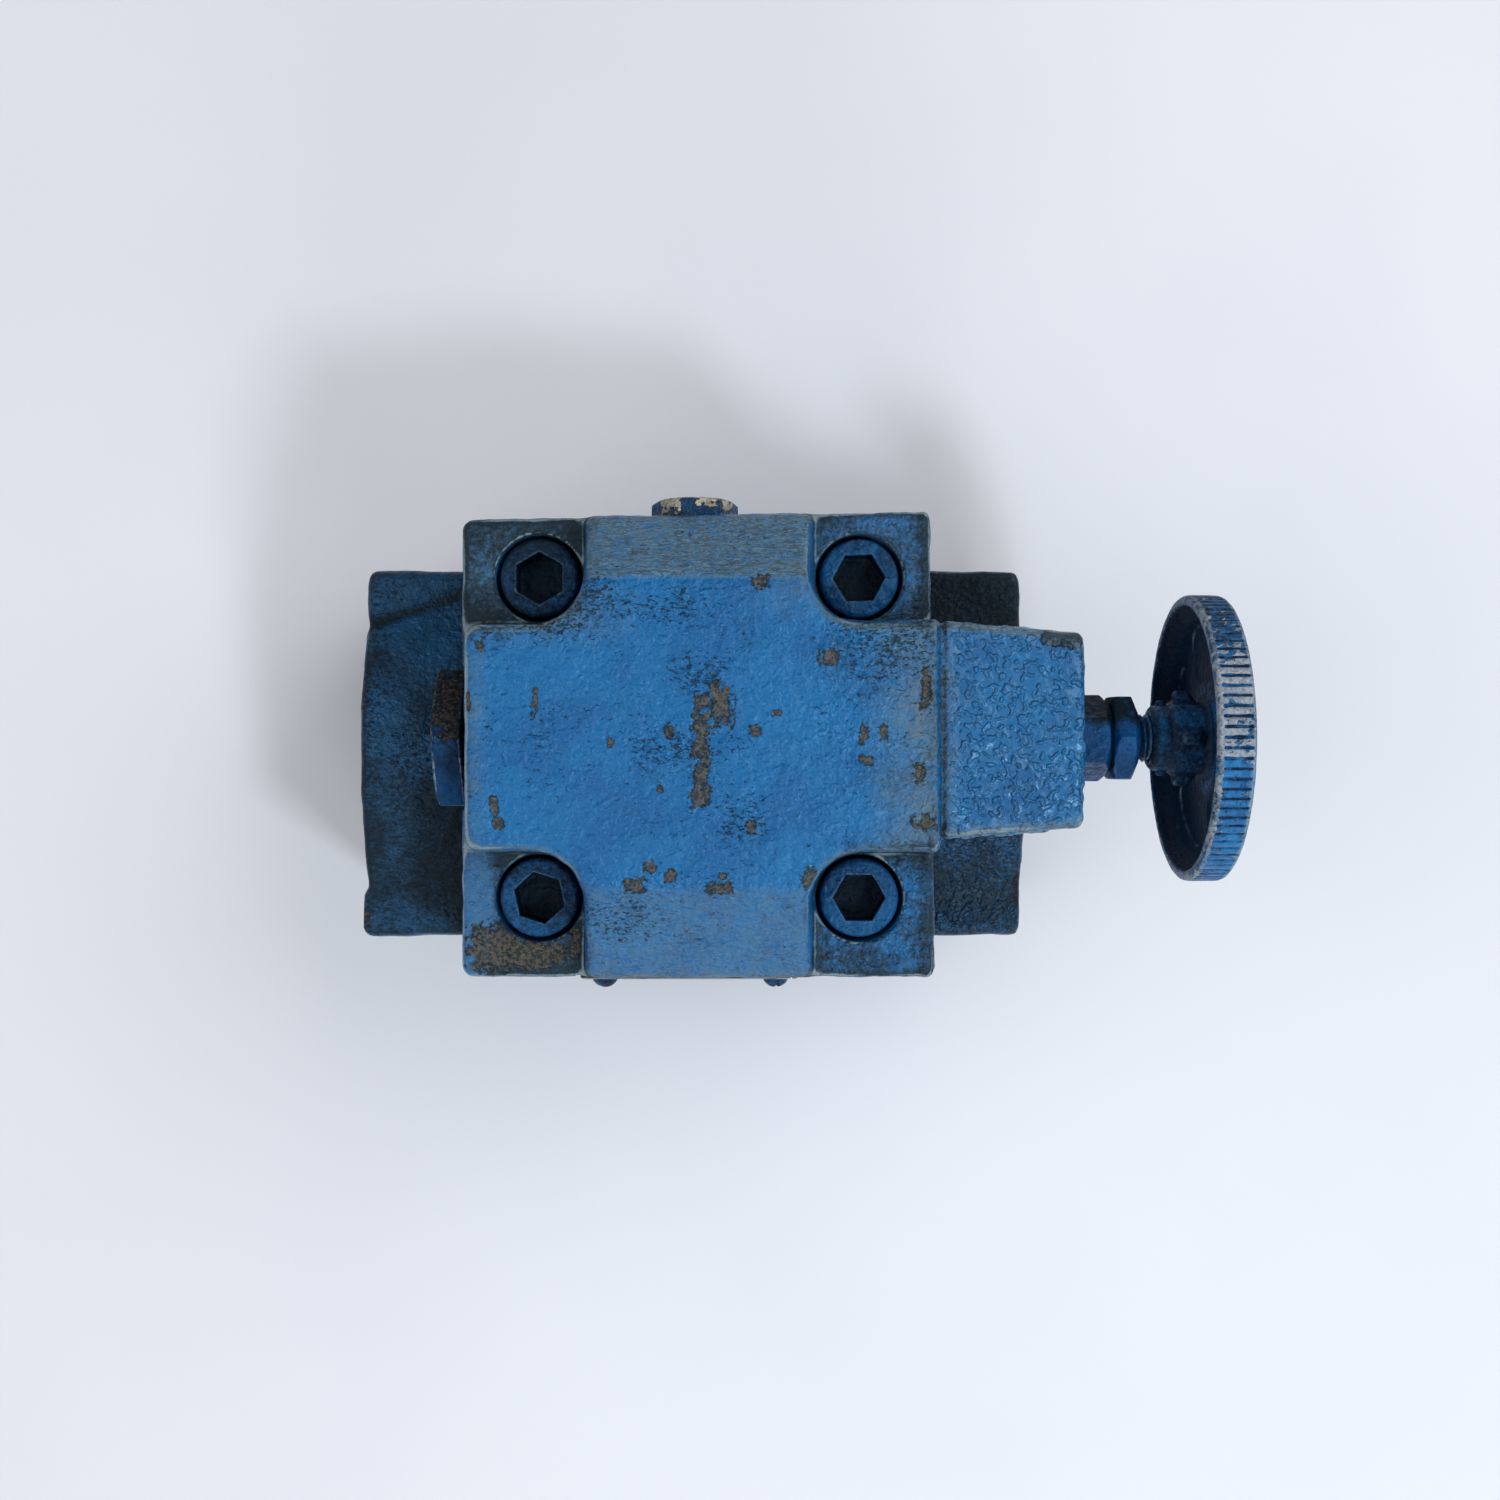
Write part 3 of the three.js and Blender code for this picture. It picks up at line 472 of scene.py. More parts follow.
def rubber(name):
    s = Shading(name)
    cloud = s.noise(3, 4, 0.6)
    base = s.mix(cloud, rgb(18, 18, 19), rgb(38, 37, 36))
    return s.finish(base, s.add(0.55, s.times(cloud, 0.25)), s.bump(s.noise(0.4, 3), 0.02))


housing_paint = paint(
    "housing_paint", rgb(12, 100, 158), rgb(9, 88, 146), rgb(114, 142, 154),
    wear=0.6, dirt=-0.1, gloss=0.2, peel=0.4,
)
body_paint = paint(
    "body_paint", rgb(24, 80, 122), rgb(14, 56, 88), rgb(84, 108, 124),
    wear=0.2, dirt=0.04, gloss=0.3, peel=0.4, soil=rgb(9, 16, 21), shine=0.4, patchy=0.75,
)
# Its dark soil colour also paints the shade down the screw sockets.
fastener_paint = paint(
    "fastener_paint", rgb(18, 82, 132), rgb(11, 60, 104), rgb(78, 122, 156),
    wear=0.45, dirt=0.0, gloss=0.26, peel=0.1, soil=rgb(3, 9, 20), shine=0.28,
)
adjuster_paint = paint(
    "adjuster_paint", rgb(13, 80, 138), rgb(9, 56, 102), rgb(96, 138, 168),
    wear=0.6, dirt=-0.05, gloss=0.26, peel=0.2, soil=rgb(8, 14, 18), shine=0.22,
)
plug_paint = paint(
    "plug_paint", rgb(12, 70, 118), rgb(8, 46, 84), rgb(150, 164, 170),
    wear=0.9, dirt=0.05, gloss=0.3, peel=0.3, under=BLACK, soil=rgb(8, 14, 20), shine=0.2,
)
vent_paint = paint(
    "vent_paint", rgb(18, 72, 116), rgb(10, 50, 88), rgb(120, 142, 156),
    wear=0.7, dirt=0.05, gloss=0.3, peel=0.2, under=PRIMER, soil=rgb(8, 14, 20), shine=0.3,
)
# Its dark soil colour is also the painted shade inside the dish.
wheel_paint = paint(
    "wheel_paint", rgb(32, 110, 168), rgb(20, 80, 134), rgb(104, 134, 156),
    wear=0.5, dirt=0.05, gloss=0.28, peel=0.1, under=BARE, soil=rgb(3, 17, 40), outline=0.2, shine=0.35,
)
steel = bare_metal("steel", rgb(170, 172, 174), rgb(120, 122, 124), 0.25, grain=(1, 12, 12))
spring_steel = bare_metal("spring_steel", rgb(96, 98, 102), rgb(60, 62, 66), 0.35)
brass = bare_metal("brass", rgb(184, 150, 84), rgb(130, 104, 60), 0.3)
cut_iron = bare_metal("cut_iron", rgb(112, 110, 106), rgb(78, 70, 62), 0.42, grain=(1, 8, 8))
seal_rubber = rubber("seal_rubber")


# ---- Throttle housing ----
# The outline of the casting at the joint, which leans in by "lean" for each millimetre of height.
SIDES = {"middle": (-0.4, -1.9), "half": (54.6, 53.5), "corner": 2.6, "lean": 0.032}
RIDGE = 24.8
CROSS_LEFT = -53.0
DECK = 108.0
COUNTERBORE = 10.0
# Radius and both ends of each bore along the throttle axis, from the plug's spot face to the gland's thread.
BORES = ((17.95, -70, -52.85), (13.6, -60, -14), (11, -15, 60), (14, -5, 34), (8.15, 59, 90))
CROWN = HOUSING_HIGH[2]
PLUG_LOW, PLUG_HIGH = box_mm("bore_plug")
VENT_LOW, VENT_HIGH = box_mm("vent_plug")
VENT_X = -1.2
SCREWS = {
    name: tuple((low[:2] + high[:2]) / 2)
    for name, (low, high) in (
        (f"cap_screw_{corner}", box_mm(f"cap_screw_{corner}"))
        for corner in ("back_left", "back_right", "front_left", "front_right")
    )
}


def housing_field(x, y, z):
    lean = SIDES["lean"] * np.clip(z - JOINT, 0, None)
    # The right and back sides are cast a little out of square.
    skew_x = x - SIDES["middle"][0] + (0.018 * (y + 2) - 0.3) * ramp(x, 0, 40)
    skew_y = y - SIDES["middle"][1] - 0.017 * x * ramp(y, 0, 30)
    outline = rectangle(skew_x, skew_y, SIDES["half"][0] - lean, SIDES["half"][1] - lean, SIDES["corner"])
    # Pockets round the cap screws, between the arms of the raised cross.
    from_x, from_y = BOLT - np.abs(x), BOLT - np.abs(y)
    pocket = length(np.clip(from_x, 0, None), np.clip(from_y, 0, None))
    pocket = pocket + np.minimum(np.maximum(from_x, from_y), 0) - (BOLT - RIDGE) + 0.05 * (CROWN - z)
    # The top is flat in the middle, and the front and back arms slope down to their ends.
    back, front = softplus(y - 35.2, 1.0), softplus(-32.4 - y, 1.2)
    steep = 0.84 * ramp(y, 34, 37) + 0.61 * ramp(-y, 31, 35)
    top = (z - (CROWN - 0.84 * back - 0.61 * front)) / np.sqrt(1 + steep * steep)
    raised = soft_max(-pocket, CROSS_LEFT + 0.13 * (z - DECK) - x, 4.0)
    raised = soft_max(raised, top, 2.8)
    casting = soft_max(outline, soft_min(z - DECK, raised, 3.4), 2.2)
    casting = soft_max(casting, JOINT - z, 0.6)
    # The boss towards the handwheel tapers to its end and is a little lower than the crown.
    along = np.clip((x - 54) / 30.6, 0, 1)
    side = np.abs(y - 1.6) - (24.2 - 2.6 * along)
    crown = 123.6 - 0.003 * np.clip(-y, 0, None) ** 2
    boss = soft_max(side, np.maximum(83 - z, z - crown), 4.0)
    boss = soft_max(boss, slab(x, 20, HOUSING_HIGH[0] + 0.1), 2.4)
    casting = soft_min(casting, boss, 1.4)
    groove = np.exp(-(((x - 53.9) / 0.8) ** 2)) - 0.45 * np.exp(-(((x - 51.9) / 0.9) ** 2))
    casting = casting + 0.65 * groove * ramp(z, 88, 96)
    # Bores along the throttle axis, then the vent bore, the screw holes and the flat behind the nameplate.
    u, v = y, z - AXIS
    for radius, low, high in BORES:
        casting = cut(casting, rod(u, v, x, radius, low, high))
    casting = cut(casting, rod(x - VENT_X, v, y, 10.5, 50.15, 70))
    casting = cut(casting, rod(x - VENT_X, v, y, 7.15, 38, 60))
    for sx, sy in SCREWS.values():
        casting = cut(casting, rod(x - sx, y - sy, z, COUNTERBORE, DECK - 12.8, 130), 0.9)
        casting = cut(casting, rod(x - sx, y - sy, z, 6.8, JOINT - 5, 130))
    plate = np.maximum(np.maximum(np.abs(x + 2.4) - 26, np.abs(z - 95.5) - 11.5), y + 54.2)
    return cut(casting, plate, 0.5)


# Chips on the housing's top and on its front left deck, and lifted paint at the end of the boss. Each spot is
# x, y, half width, half height.
TOP_CHIPS = [
    (5.0, 7.6, 2.2, 4.2), (1.5, 8.0, 1.7, 1.8), (0.9, -0.5, 1.6, 5.6), (1.2, -8.0, 1.6, 4.4),
    (-0.2, -13.0, 1.2, 1.8), (-5.8, 1.4, 1.1, 1.3), (-35.2, 7.9, 0.5, 2.3), (-36.2, 5.0, 0.5, 0.9),
    (-44.3, -15.2, 0.8, 1.7), (-43.3, -18.9, 1.0, 1.1), (-47.6, 20.2, 1.1, 1.4), (28.8, 17.4, 1.7, 1.6),
    (11.8, -19.6, 0.9, 1.2), (-13.7, -32.3, 1.9, 1.3), (4.9, -33.0, 2.3, 1.6), (6.0, -30.4, 0.8, 0.9),
    (-10.4, -28.3, 1.2, 1.1), (-6.0, -30.3, 1.0, 1.1), (14.2, 34.1, 1.9, 1.2), (13.0, 1.4, 1.4, 1.0),
    (-18.6, -1.0, 0.7, 0.9), (36.4, 1.1, 0.8, 1.9), (40.6, 1.3, 0.9, 1.5), (37.0, -5.0, 1.2, 1.0),
    (50.0, 10.2, 1.1, 3.6), (48.8, -7.6, 1.3, 1.6), (50.0, -18.8, 2.6, 1.5), (-8.0, -11.3, 0.8, 0.9),
    (17.2, 5.4, 0.9, 0.5), (24.6, -31.2, 1.6, 2.4), (-50.0, 8.0, 0.5, 1.6),
]
DECK_CHIPS = [
    (-46.4, -47.8, 4.4, 4.0), (-40.0, -49.4, 4.0, 2.6), (-34.8, -49.4, 3.0, 2.2), (-28.2, -47.0, 1.0, 3.0),
]
BRUISES = [(80.0, 22.0, 3.6, 2.0), (77.6, 21.4, 2.0, 1.4), (82.6, 21.0, 1.6, 1.6)]


def spots(p, places):
    """1 in the middle of the nearest spot, 0.5 on its squarish outline, falling to 0 outside it."""
    result = np.zeros(len(p))
    for x, y, half_x, half_y in places:
        away = (((p[:, 0] - x) / half_x) ** 4 + ((p[:, 1] - y) / half_y) ** 4) ** 0.25
        result = np.maximum(result, np.clip(1 - 0.5 * away, 0, 1))
    return result


def by_corner(x, y, back_left, back_right, front_left, front_right):
    """The value for the corner of the housing that each point is in."""
    back = np.where(x < 0, back_left, back_right)
    return np.where(y > 0, back, np.where(x < 0, front_left, front_right))


def machined(p):
    """1 on the housing's bored and faced surfaces, which have no cast texture or paint runs."""
    near = np.zeros(len(p))
    for sx, sy in SCREWS.values():
        away = length(p[:, 0] - sx, p[:, 1] - sy) - COUNTERBORE
        near = np.maximum(near, ramp(away, 0.6, 0.1) * ramp(p[:, 2], 130, 129))
    near = np.maximum(near, ramp(p[:, 2], JOINT + 0.8, JOINT + 0.2))
    bored = ramp(length(p[:, 1], p[:, 2] - AXIS), 19.0, 18.2) * ramp(p[:, 0], -52.2, -52.6)
    return np.maximum(near, bored)


def housing_marks(p, n):
    x, y, z = p.T
    up = ramp(n[:, 2], 0.5, 0.8)
    upper = ramp(z, 116, 119) * up
    deck = ramp(z, 112, 109) * ramp(z, 106.4, 107.6)
    chip = spots(p, TOP_CHIPS) * upper + 1.3 * spots(p, DECK_CHIPS) * deck
    right = ramp(x, 22, 40) * ramp(x, 56, 50)
    seam = np.exp(-(((x - 52) / 2.6) ** 2)) * ramp(z, 100, 110)
    arms = ramp(np.abs(n[:, 1]), 0.25, 0.5) * ramp(n[:, 2], 0.35, 0.5) * ramp(z, 108, 111)
    flank = ramp(n[:, 2], 0.45, 0.2) * ramp(z, 126, 84)
    # Patchy dirt on the right of the top; the seam groove before the boss gets painted shade, and steep side
    # faces are made darker.
    grime = (0.2 + 0.25 * lumps(p, 9, 6)) * right * upper + 0.35 * seam + 0.2 * flank
    grime += deck * by_corner(x, y, 0.85, 0.6, 0.9 * ramp(x, -50, -44), 0.66)
    grime += 0.4 * spots(p, [(25, -31, 5, 5), (30, 16, 8, 6), (-44, 24, 5, 3), (-20, 29, 22, 4)]) * upper
    speck = 0.12 + 0.3 * lumps(p, 6, 8) + spots(p, [(-26, 29.5, 18, 3.4), (-33, 25, 9, 3), (44, 22, 8, 6)])
    speck += 0.8 * spots(p, [(1, 13, 5, 4), (10, -18, 4, 3), (-4, -2, 7, 3), (-14, -40, 7, 5)])
    speck += 0.15 * right
    speck *= 1 - 0.8 * ramp(x, 55, 57)
    peel = ramp(x, 54, 58) + 0.35 * ramp(x, 10, 50) * ramp(x, 56, 54)
    dust = upper * ramp(x, 34, 50) * ramp(x, 58, 54) * (0.75 + 0.4 * lumps(p, 7, 9))
    dusty = spots(p, [(26, 34, 8, 5), (-34, 27, 12, 4), (-49, 0, 2, 20)])
    dust += 0.7 * dusty * upper * (0.7 + 0.5 * lumps(p, 3, 10))
    dust += 0.24 * ramp(x, 55, 58) * up
    dust += deck * by_corner(x, y, 0.65, 0.3, 0.4, 0.0)
    # Painted light: the sloping arms, the back ones most, and faces turned to the front are made paler.
    pale = arms * (0.9 * (y > 0) + 0.32 * (y < 0)) + 0.5 * ramp(-n[:, 1], 0.5, 0.8) * ramp(z, 100, 106)
    # A narrow line along the shoulder of each edge, where handling has rubbed the paint and a painted
    # highlight lies.
    shoulder = np.exp(-(((n[:, 2] - 0.62) / 0.15) ** 2)) * (0.75 + 0.7 * lumps(p, 8, 7))
    handled = 0.35 + 0.65 * ramp(-x, 40, 48) + 0.4 * ramp(x, 50, 60) * ramp(-y, 5, 15)
    rub = shoulder * ramp(z, 112, 118) * handled
    rub += 0.7 * shoulder * ramp(z, 104, 106) * ramp(z, 110, 108.5)
    return {
        "chip": chip,
        "bruise": spots(p, BRUISES) * ramp(z, 112, 116),
        "grime": grime,
        "dust": np.clip(dust, 0, 1),
        "speck": speck,
        "peel": peel,
        "pale": np.clip(pale, 0, 1),
        "rub": rub,
    }


def housing_relief(p, n, marks):
    rough = 0.10 * lumps(p, 9.0, 1) + 0.14 * lumps(p, 3.4, 2) + 0.05 * lumps(p, 1.8, 6)
    blobs = np.clip(lumps(p, 2.6, 3) + 0.7 * lumps(p, 1.5, 4), -0.3, 0.8)
    rough += ((0.2 + 0.14 * ramp(-p[:, 1], -4, 8)) * marks["peel"] + 0.07) * blobs
    rough += 0.3 * marks["pale"] * lumps(p * (0.22, 1, 1), 1.6, 7)
    rough -= 0.12 * ramp(marks["chip"] + 0.15 * lumps(p, 1.6, 5), 0.45, 0.55)
    return rough * (1 - machined(p))


housing = skin(
    "throttle_housing_cast", housing_field, HOUSING_LOW - 1.6, HOUSING_HIGH + 1.0,
    step=0.57, reach=0.8, relief=housing_relief, marks=housing_marks,
)
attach(housing, "valve")
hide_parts("throttle_housing")
housing.data.materials.append(housing_paint)


# ---- Main body ----
PORT_Y, PORT_Z = -3.9, 41.0
ENDS = {"x": (-82.9, 78.9), "y": (-49.0, 41.2), "z": (3.0, 72.0), "crown": 81.0, "half_chord": 34.0}


def body_field(x, y, z):
    block = soft_max(rectangle(x + 1.8, y + 3.2, 54.2, 53.2, 4), slab(z, 0, JOINT), 1.2)
    rise = ENDS["crown"] - ENDS["z"][1]
    radius = (ENDS["half_chord"] ** 2 + rise**2) / (2 * rise)
    arch = length(y - PORT_Y, z - (ENDS["crown"] - radius)) - radius
    over = soft_min(z - ENDS["z"][1], arch, 2.2)
    ends = soft_max(slab(x, ENDS["x"][0] - 0.7, ENDS["x"][1]), ENDS["z"][0] - z, 2)
    ends = soft_max(soft_max(slab(y, ENDS["y"][0], ENDS["y"][1] + 0.7), over, 3.2), ends, 2.6)
    lug = soft_max(rectangle(x + 77, y + 43, 7.9, 6, 2.4), slab(z, ENDS["z"][0], ENDS["z"][1]), 2.6)
    casting = soft_min(soft_min(ends, lug, 0.8), block, 2.4)
    u, v = y - PORT_Y, z - PORT_Z
    for side in (-1, 1):
        end = ENDS["x"][0] if side < 0 else ENDS["x"][1]
        out = side * (x - end)
        casting = cut(casting, rod(u, v, out, 27, -0.6, 9))
        casting = cut(casting, rod(u, v, out, 21.0, -29, 9), 0.8)
        casting = cut(casting, rod(u, v, out, 12, -90 + 12, -20))
    casting = cut(casting, rod(x, y, z, 13, 8, JOINT + 5), 0.6)
    for sx, sy in SCREWS.values():
        casting = cut(casting, rod(x - sx, y - sy, z, 6.2, 52, JOINT + 5), 0.6)
    return casting


# Stains and chips on the body's rim, as x, y, half width, half height.
STAINS = [(-84, 0, 4, 40), (-62, -24, 9, 18), (-82, -30, 10, 22), (-66, 12, 8, 7), (-62, -36, 12, 12)]
RIM_CHIPS = [(-84.5, -44, 1.6, 2.4), (-64, -41, 1.0, 0.8), (79, -36, 1.5, 4), (-84, 12, 1.6, 4)]


def crease(x, y, z):
    """1 along a slanting fold in the casting's skin on the inlet end, falling to 0 beside it."""
    return np.exp(-(((y - 32.3 - 0.32 * (x + 71)) / 1.6) ** 2)) * ramp(z, 66, 70) * ramp(-x, 54, 58)


def body_marks(p, n):
    x, y, z = p.T
    inner = ramp(length(y - PORT_Y, z - PORT_Z), 27.2, 26.8) * ramp(np.abs(x + 2), 74, 76)
    top = ramp(n[:, 2], 0.5, 0.8)
    grime = 0.1 + 0.6 * spots(p, STAINS) * top
    right = ramp(x, 50, 60)
    grime += 1.1 * right * ramp(y, 20, 26) * top + 0.3 * right * ramp(-y, 26, 30) * ramp(y, -42, -40) * top
    grime += top * (0.35 * spots(p, [(-66, -34, 14, 12)]) - 0.25 * right * ramp(-y, 41, 43))
    # Darker towards the bottom.
    grime += 0.25 * ramp(z, 40, 6)
    # Painted shadow along the crease.
    grime += 0.8 * crease(x, y, z)
    chip = 0.9 * spots(p, RIM_CHIPS) * ramp(z, 62, 68)
    speck = 0.2 + 0.7 * right + 1.2 * top * spots(p, [(-83, 0, 5, 36), (-66, -18, 8, 18), (66, -38, 12, 6)])
    outside = 1 - inner
    return {"chip": chip, "grime": grime * outside, "speck": speck * outside, "peel": 0.25 * outside}


def body_relief(p, n, marks):
    x, y, z = p.T
    flat = np.maximum(ramp(z, 0.6, 0.1), ramp(z, JOINT - 0.6, JOINT - 0.1))
    ported = ramp(length(y - PORT_Y, z - PORT_Z), 28.0, 27.2)
    rough = 0.22 * lumps(p, 14, 11) + 0.16 * lumps(p, 5, 12) + 0.09 * lumps(p, 2.6, 13)
    side = ramp(np.abs(n[:, 2]), 0.4, 0.2)
    parting = 0.4 * np.exp(-(((z - PORT_Z + 0.4 * lumps(p, 8, 14)) / 0.7) ** 2)) * side
    return (rough + parting - 0.6 * crease(x, y, z)) * (1 - flat) * (1 - ported)


body = skin(
    "main_body_cast", body_field, BODY_LOW - 0.5, BODY_HIGH + 0.3,
    step=1.0, reach=1.8, relief=body_relief, marks=body_marks,
)
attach(body, "valve")
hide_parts("main_body")
body.data.materials.append(body_paint)


# ---- Cap screws ----
SCREW = {"head": 9.0, "height": 12.0, "shank": 5.9, "socket": 10.4, "deep": 6.5}
SOCKET_TURNS = {"back_left": 0, "back_right": 32, "front_left": 12, "front_right": 30}
SCREW_GRIME = {"back_left": 0.7, "back_right": 0.38, "front_left": 0.52, "front_right": 0.14}
for name, (sx, sy) in SCREWS.items():
    low, high = box_mm(name)
    top = high[2]
    corner = name.replace("cap_screw_", "")

    def screw_field(x, y, z, sx=sx, sy=sy, low=low, top=top, turn=SOCKET_TURNS[corner]):
        u, v = x - sx, y - sy
        r = length(u, v)
        head = rod(u, v, z, SCREW["head"], top - SCREW["height"], top, 0.5)
        head = soft_max(head, cone(r, z, SCREW["head"] - 0.5, top, 45), 0.4)
        shank = rod(u, v, z, SCREW["shank"], low[2], top - SCREW["height"] + 1, 1.0)
        socket = soft_max(hexagon(u, v, SCREW["socket"], turn), top - SCREW["deep"] - z, 0.4)
        mouth = cone(r, -z, 5.1, -top, 40)
        return cut(cut(soft_min(head, shank, 0.6), socket, 0.3), mouth, 0.3)

    def screw_marks(p, n, sx=sx, sy=sy, top=top, grime=SCREW_GRIME[corner]):
        r = length(p[:, 0] - sx, p[:, 1] - sy)
        # Painted shade down in the socket.
        inside = ramp(top - p[:, 2], 0.7, 2.2) * ramp(-r, -6.6, -6.1)
        return {"grime": grime + 1.2 * inside, "speck": np.full(len(p), 0.3)}

    screw = skin(name + "_turned", screw_field, low, high, step=0.33, reach=0.7, marks=screw_marks)
    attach(screw, "valve")
    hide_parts(name)
    screw.data.materials.append(fastener_paint)


def dress(name, node, body_name, material, field, step, reach=0.6, relief=None, marks=None):
    """Stands a meshed field in for one CAD node, whose box says how far the field reaches."""
    low, high = box_mm(node)
    piece = skin(name, field, low - 0.3, high + 0.3, step, reach, relief, marks)
    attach(piece, body_name)
    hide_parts(node)
    piece.data.materials.append(material)
    return piece


def ripples(height, size, seed):
    """Relief of smooth lumps, for forged and painted surfaces."""
    return lambda p, n, marks: height * lumps(p, size, seed)


def evenly(grime):
    """Marks that give the same grime to the whole piece."""
    return lambda p, n: {"grime": np.full(len(p), grime)}


# ---- Plugs ----
PLUG_FLATS, VENT_FLATS = 31, 17.5
# Spots on the bore plug as y, x and on the vent plug as x, y, then half width, half height.
PLUG_CHIPS = [(8.6, -56.0, 7.0, 4.4), (3.0, -55.2, 4.0, 2.6)]
VENT_CHIPS = [(-6.6, 53.8, 2.6, 2.0), (2.2, 54.4, 3.6, 1.3), (6.8, 53.4, 2.0, 1.8)]


def worn_hexagon(first, second, places, grime=0.0):
    """Marks for a painted hexagon that spanners have chipped, at spots in the axes first and second."""

    def marks(p, n):
        chip = spots(np.stack([p[:, first], p[:, second]], axis=1), places)
        return {"chip": chip * ramp(p[:, 2], AXIS - 5, AXIS + 6), "grime": np.full(len(p), grime)}

    return marks


def bore_plug_field(x, y, z):
    u, v = y, z - AXIS
    r = length(u, v)
    head = soft_max(hexagon(u, v, PLUG_FLATS, 0), slab(x, PLUG_LOW[0], -53.0), 0.5)
    head = soft_max(head, cone(r, -x, 15.9, -PLUG_LOW[0], 28), 0.3)
    plug = soft_min(head, rod(u, v, x, 13.3, -54, PLUG_HIGH[0], 1.2), 0.5)
    return cut(plug, rod(u, v, x, 9, -47, -30))


dress(
    "bore_plug_forged", "bore_plug", "valve", plug_paint, bore_plug_field,
    step=0.42, reach=0.9, relief=ripples(0.06, 3, 21), marks=worn_hexagon(1, 0, PLUG_CHIPS, grime=0.3),
)


def vent_plug_field(x, y, z):
    u, v = x - VENT_X, z - AXIS
    r = length(u, v)
    head = soft_max(hexagon(u, v, VENT_FLATS, 83.3), slab(y, 50.3, VENT_HIGH[1]), 0.4)
    head = soft_max(head, cone(r, y, 8.2, VENT_HIGH[1], 30), 0.3)
    return soft_min(head, rod(u, v, y, 7, VENT_LOW[1], 51, 0.8), 0.4)


dress(
    "vent_plug_forged", "vent_plug", "valve", vent_paint, vent_plug_field,
    step=0.26, relief=ripples(0.04, 2, 22), marks=worn_hexagon(0, 1, VENT_CHIPS),
)


# ---- Adjuster ----
GLAND_HIGH = box_mm("stem_gland")[1]
WASHER_LOW, WASHER_HIGH = box_mm("lock_washer")
NUT_LOW, NUT_HIGH = box_mm("lock_nut")
STEM_LOW, STEM_HIGH = box_mm("adjusting_stem")
PIN_LOW, PIN_HIGH = box_mm("wheel_pin")
PIN_X = (PIN_LOW[0] + PIN_HIGH[0]) / 2
GLAND_FLATS, NUT_FLATS = 17.5, 19.05
STEM_R, STEM_HOLE_R = 5.15, 5.75


def gland_field(x, y, z):
    u, v = y, z - AXIS
    r = length(u, v)
    head = soft_max(hexagon(u, v, GLAND_FLATS, 33.6), slab(x, HOUSING_HIGH[0] + 0.15, GLAND_HIGH[0]), 0.35)
    head = soft_max(head, cone(r, x, 8.5, GLAND_HIGH[0], 38), 0.3)
    return cut(soft_min(head, rod(u, v, x, 7.9, 66, 86), 0.3), rod(u, v, x, STEM_HOLE_R, 60, 100), 0.6)


def nut_field(x, y, z):
    u, v = y, z - AXIS
    r = length(u, v)
    nut = soft_max(hexagon(u, v, NUT_FLATS, 0), slab(x, NUT_LOW[0], NUT_HIGH[0]), 0.35)
    nut = soft_max(nut, cone(r, x, 6.2, NUT_HIGH[0], 25), 0.3)
    nut = soft_max(nut, cone(r, -x, 9.3, -NUT_LOW[0], 32), 0.3)
    return cut(nut, rod(u, v, x, STEM_HOLE_R, 90, 105), 0.7)


def washer_field(x, y, z):
    disc = rod(y, z - AXIS, x, 8.1, WASHER_LOW[0], WASHER_HIGH[0], 0.1)
    return cut(disc, rod(y, z - AXIS, x, STEM_HOLE_R + 0.05, 90, 99), 0.1)


def caked_back_and_lit_front(p, n):
    """The back of the gland, washer and nut is caked with old oil and dust, and their front is made paler
    with painted light.
    """
    y = p[:, 1]
    caked = ramp(y, 1.0, 6.0) + 0.35 * lumps(p, 2.5, 23)
    return {"grime": np.clip(1.2 * caked, 0, 1.3), "rub": 0.45 * ramp(-y, 4, 8)}


def thread(r, turn, x, pitch, root, depth):
    """Radius left over outside a right-hand screw thread along x."""
    tooth = np.abs((x / pitch - turn / (2 * math.pi)) % 1 - 0.5) * 2
    return (r - root - depth * tooth) * 0.7


def stem_field(x, y, z):
    u, v = y, z - AXIS
    r, turn = length(u, v), np.arctan2(z - AXIS, y)
    screw = soft_max(thread(r, turn, x, 1.5, 4.75, 0.85), slab(x, 76, 104), 0.5)
    shaft = rod(u, v, x, STEM_R, STEM_LOW[0], STEM_HIGH[0], 0.8)
    shaft = cut(shaft, soft_max(slab(x, 68, 70.6), 3.8 - r, 0.1), 0.2)
    shaft = soft_max(shaft, np.maximum(r - 4.8, 104 - x) * (x > 76) + (r - 5.2) * (x <= 76), 0.1)
    return cut(np.minimum(screw, shaft), rod(x - PIN_X, v, y, 1.35, -20, 20), 0.2)


def pin_field(x, y, z):
    return rod(x - PIN_X, z - AXIS, y, 1.2, PIN_LOW[1], PIN_HIGH[1], 0.8)


dress(
    "stem_gland_turned", "stem_gland", "valve", adjuster_paint, gland_field,
    step=0.3, marks=caked_back_and_lit_front,
)
dress(
    "lock_washer_cut", "lock_washer", "washer", adjuster_paint, washer_field,
    step=0.16, reach=0.2, marks=evenly(0.9),
)
dress(
    "lock_nut_turned", "lock_nut", "nut", adjuster_paint, nut_field,
    step=0.22, marks=caked_back_and_lit_front,
)
dress(
    "adjusting_stem_turned", "adjusting_stem", "adjuster", adjuster_paint, stem_field,
    step=0.3, reach=0.4,
)
dress(
    "wheel_pin_turned", "wheel_pin", "adjuster", adjuster_paint, pin_field,
    step=0.2, reach=0.4, marks=evenly(0.55),
)


# ---- Handwheel ----
GROOVES = 90
WHEEL_R = (WHEEL_HIGH[1] - WHEEL_LOW[1]) / 2
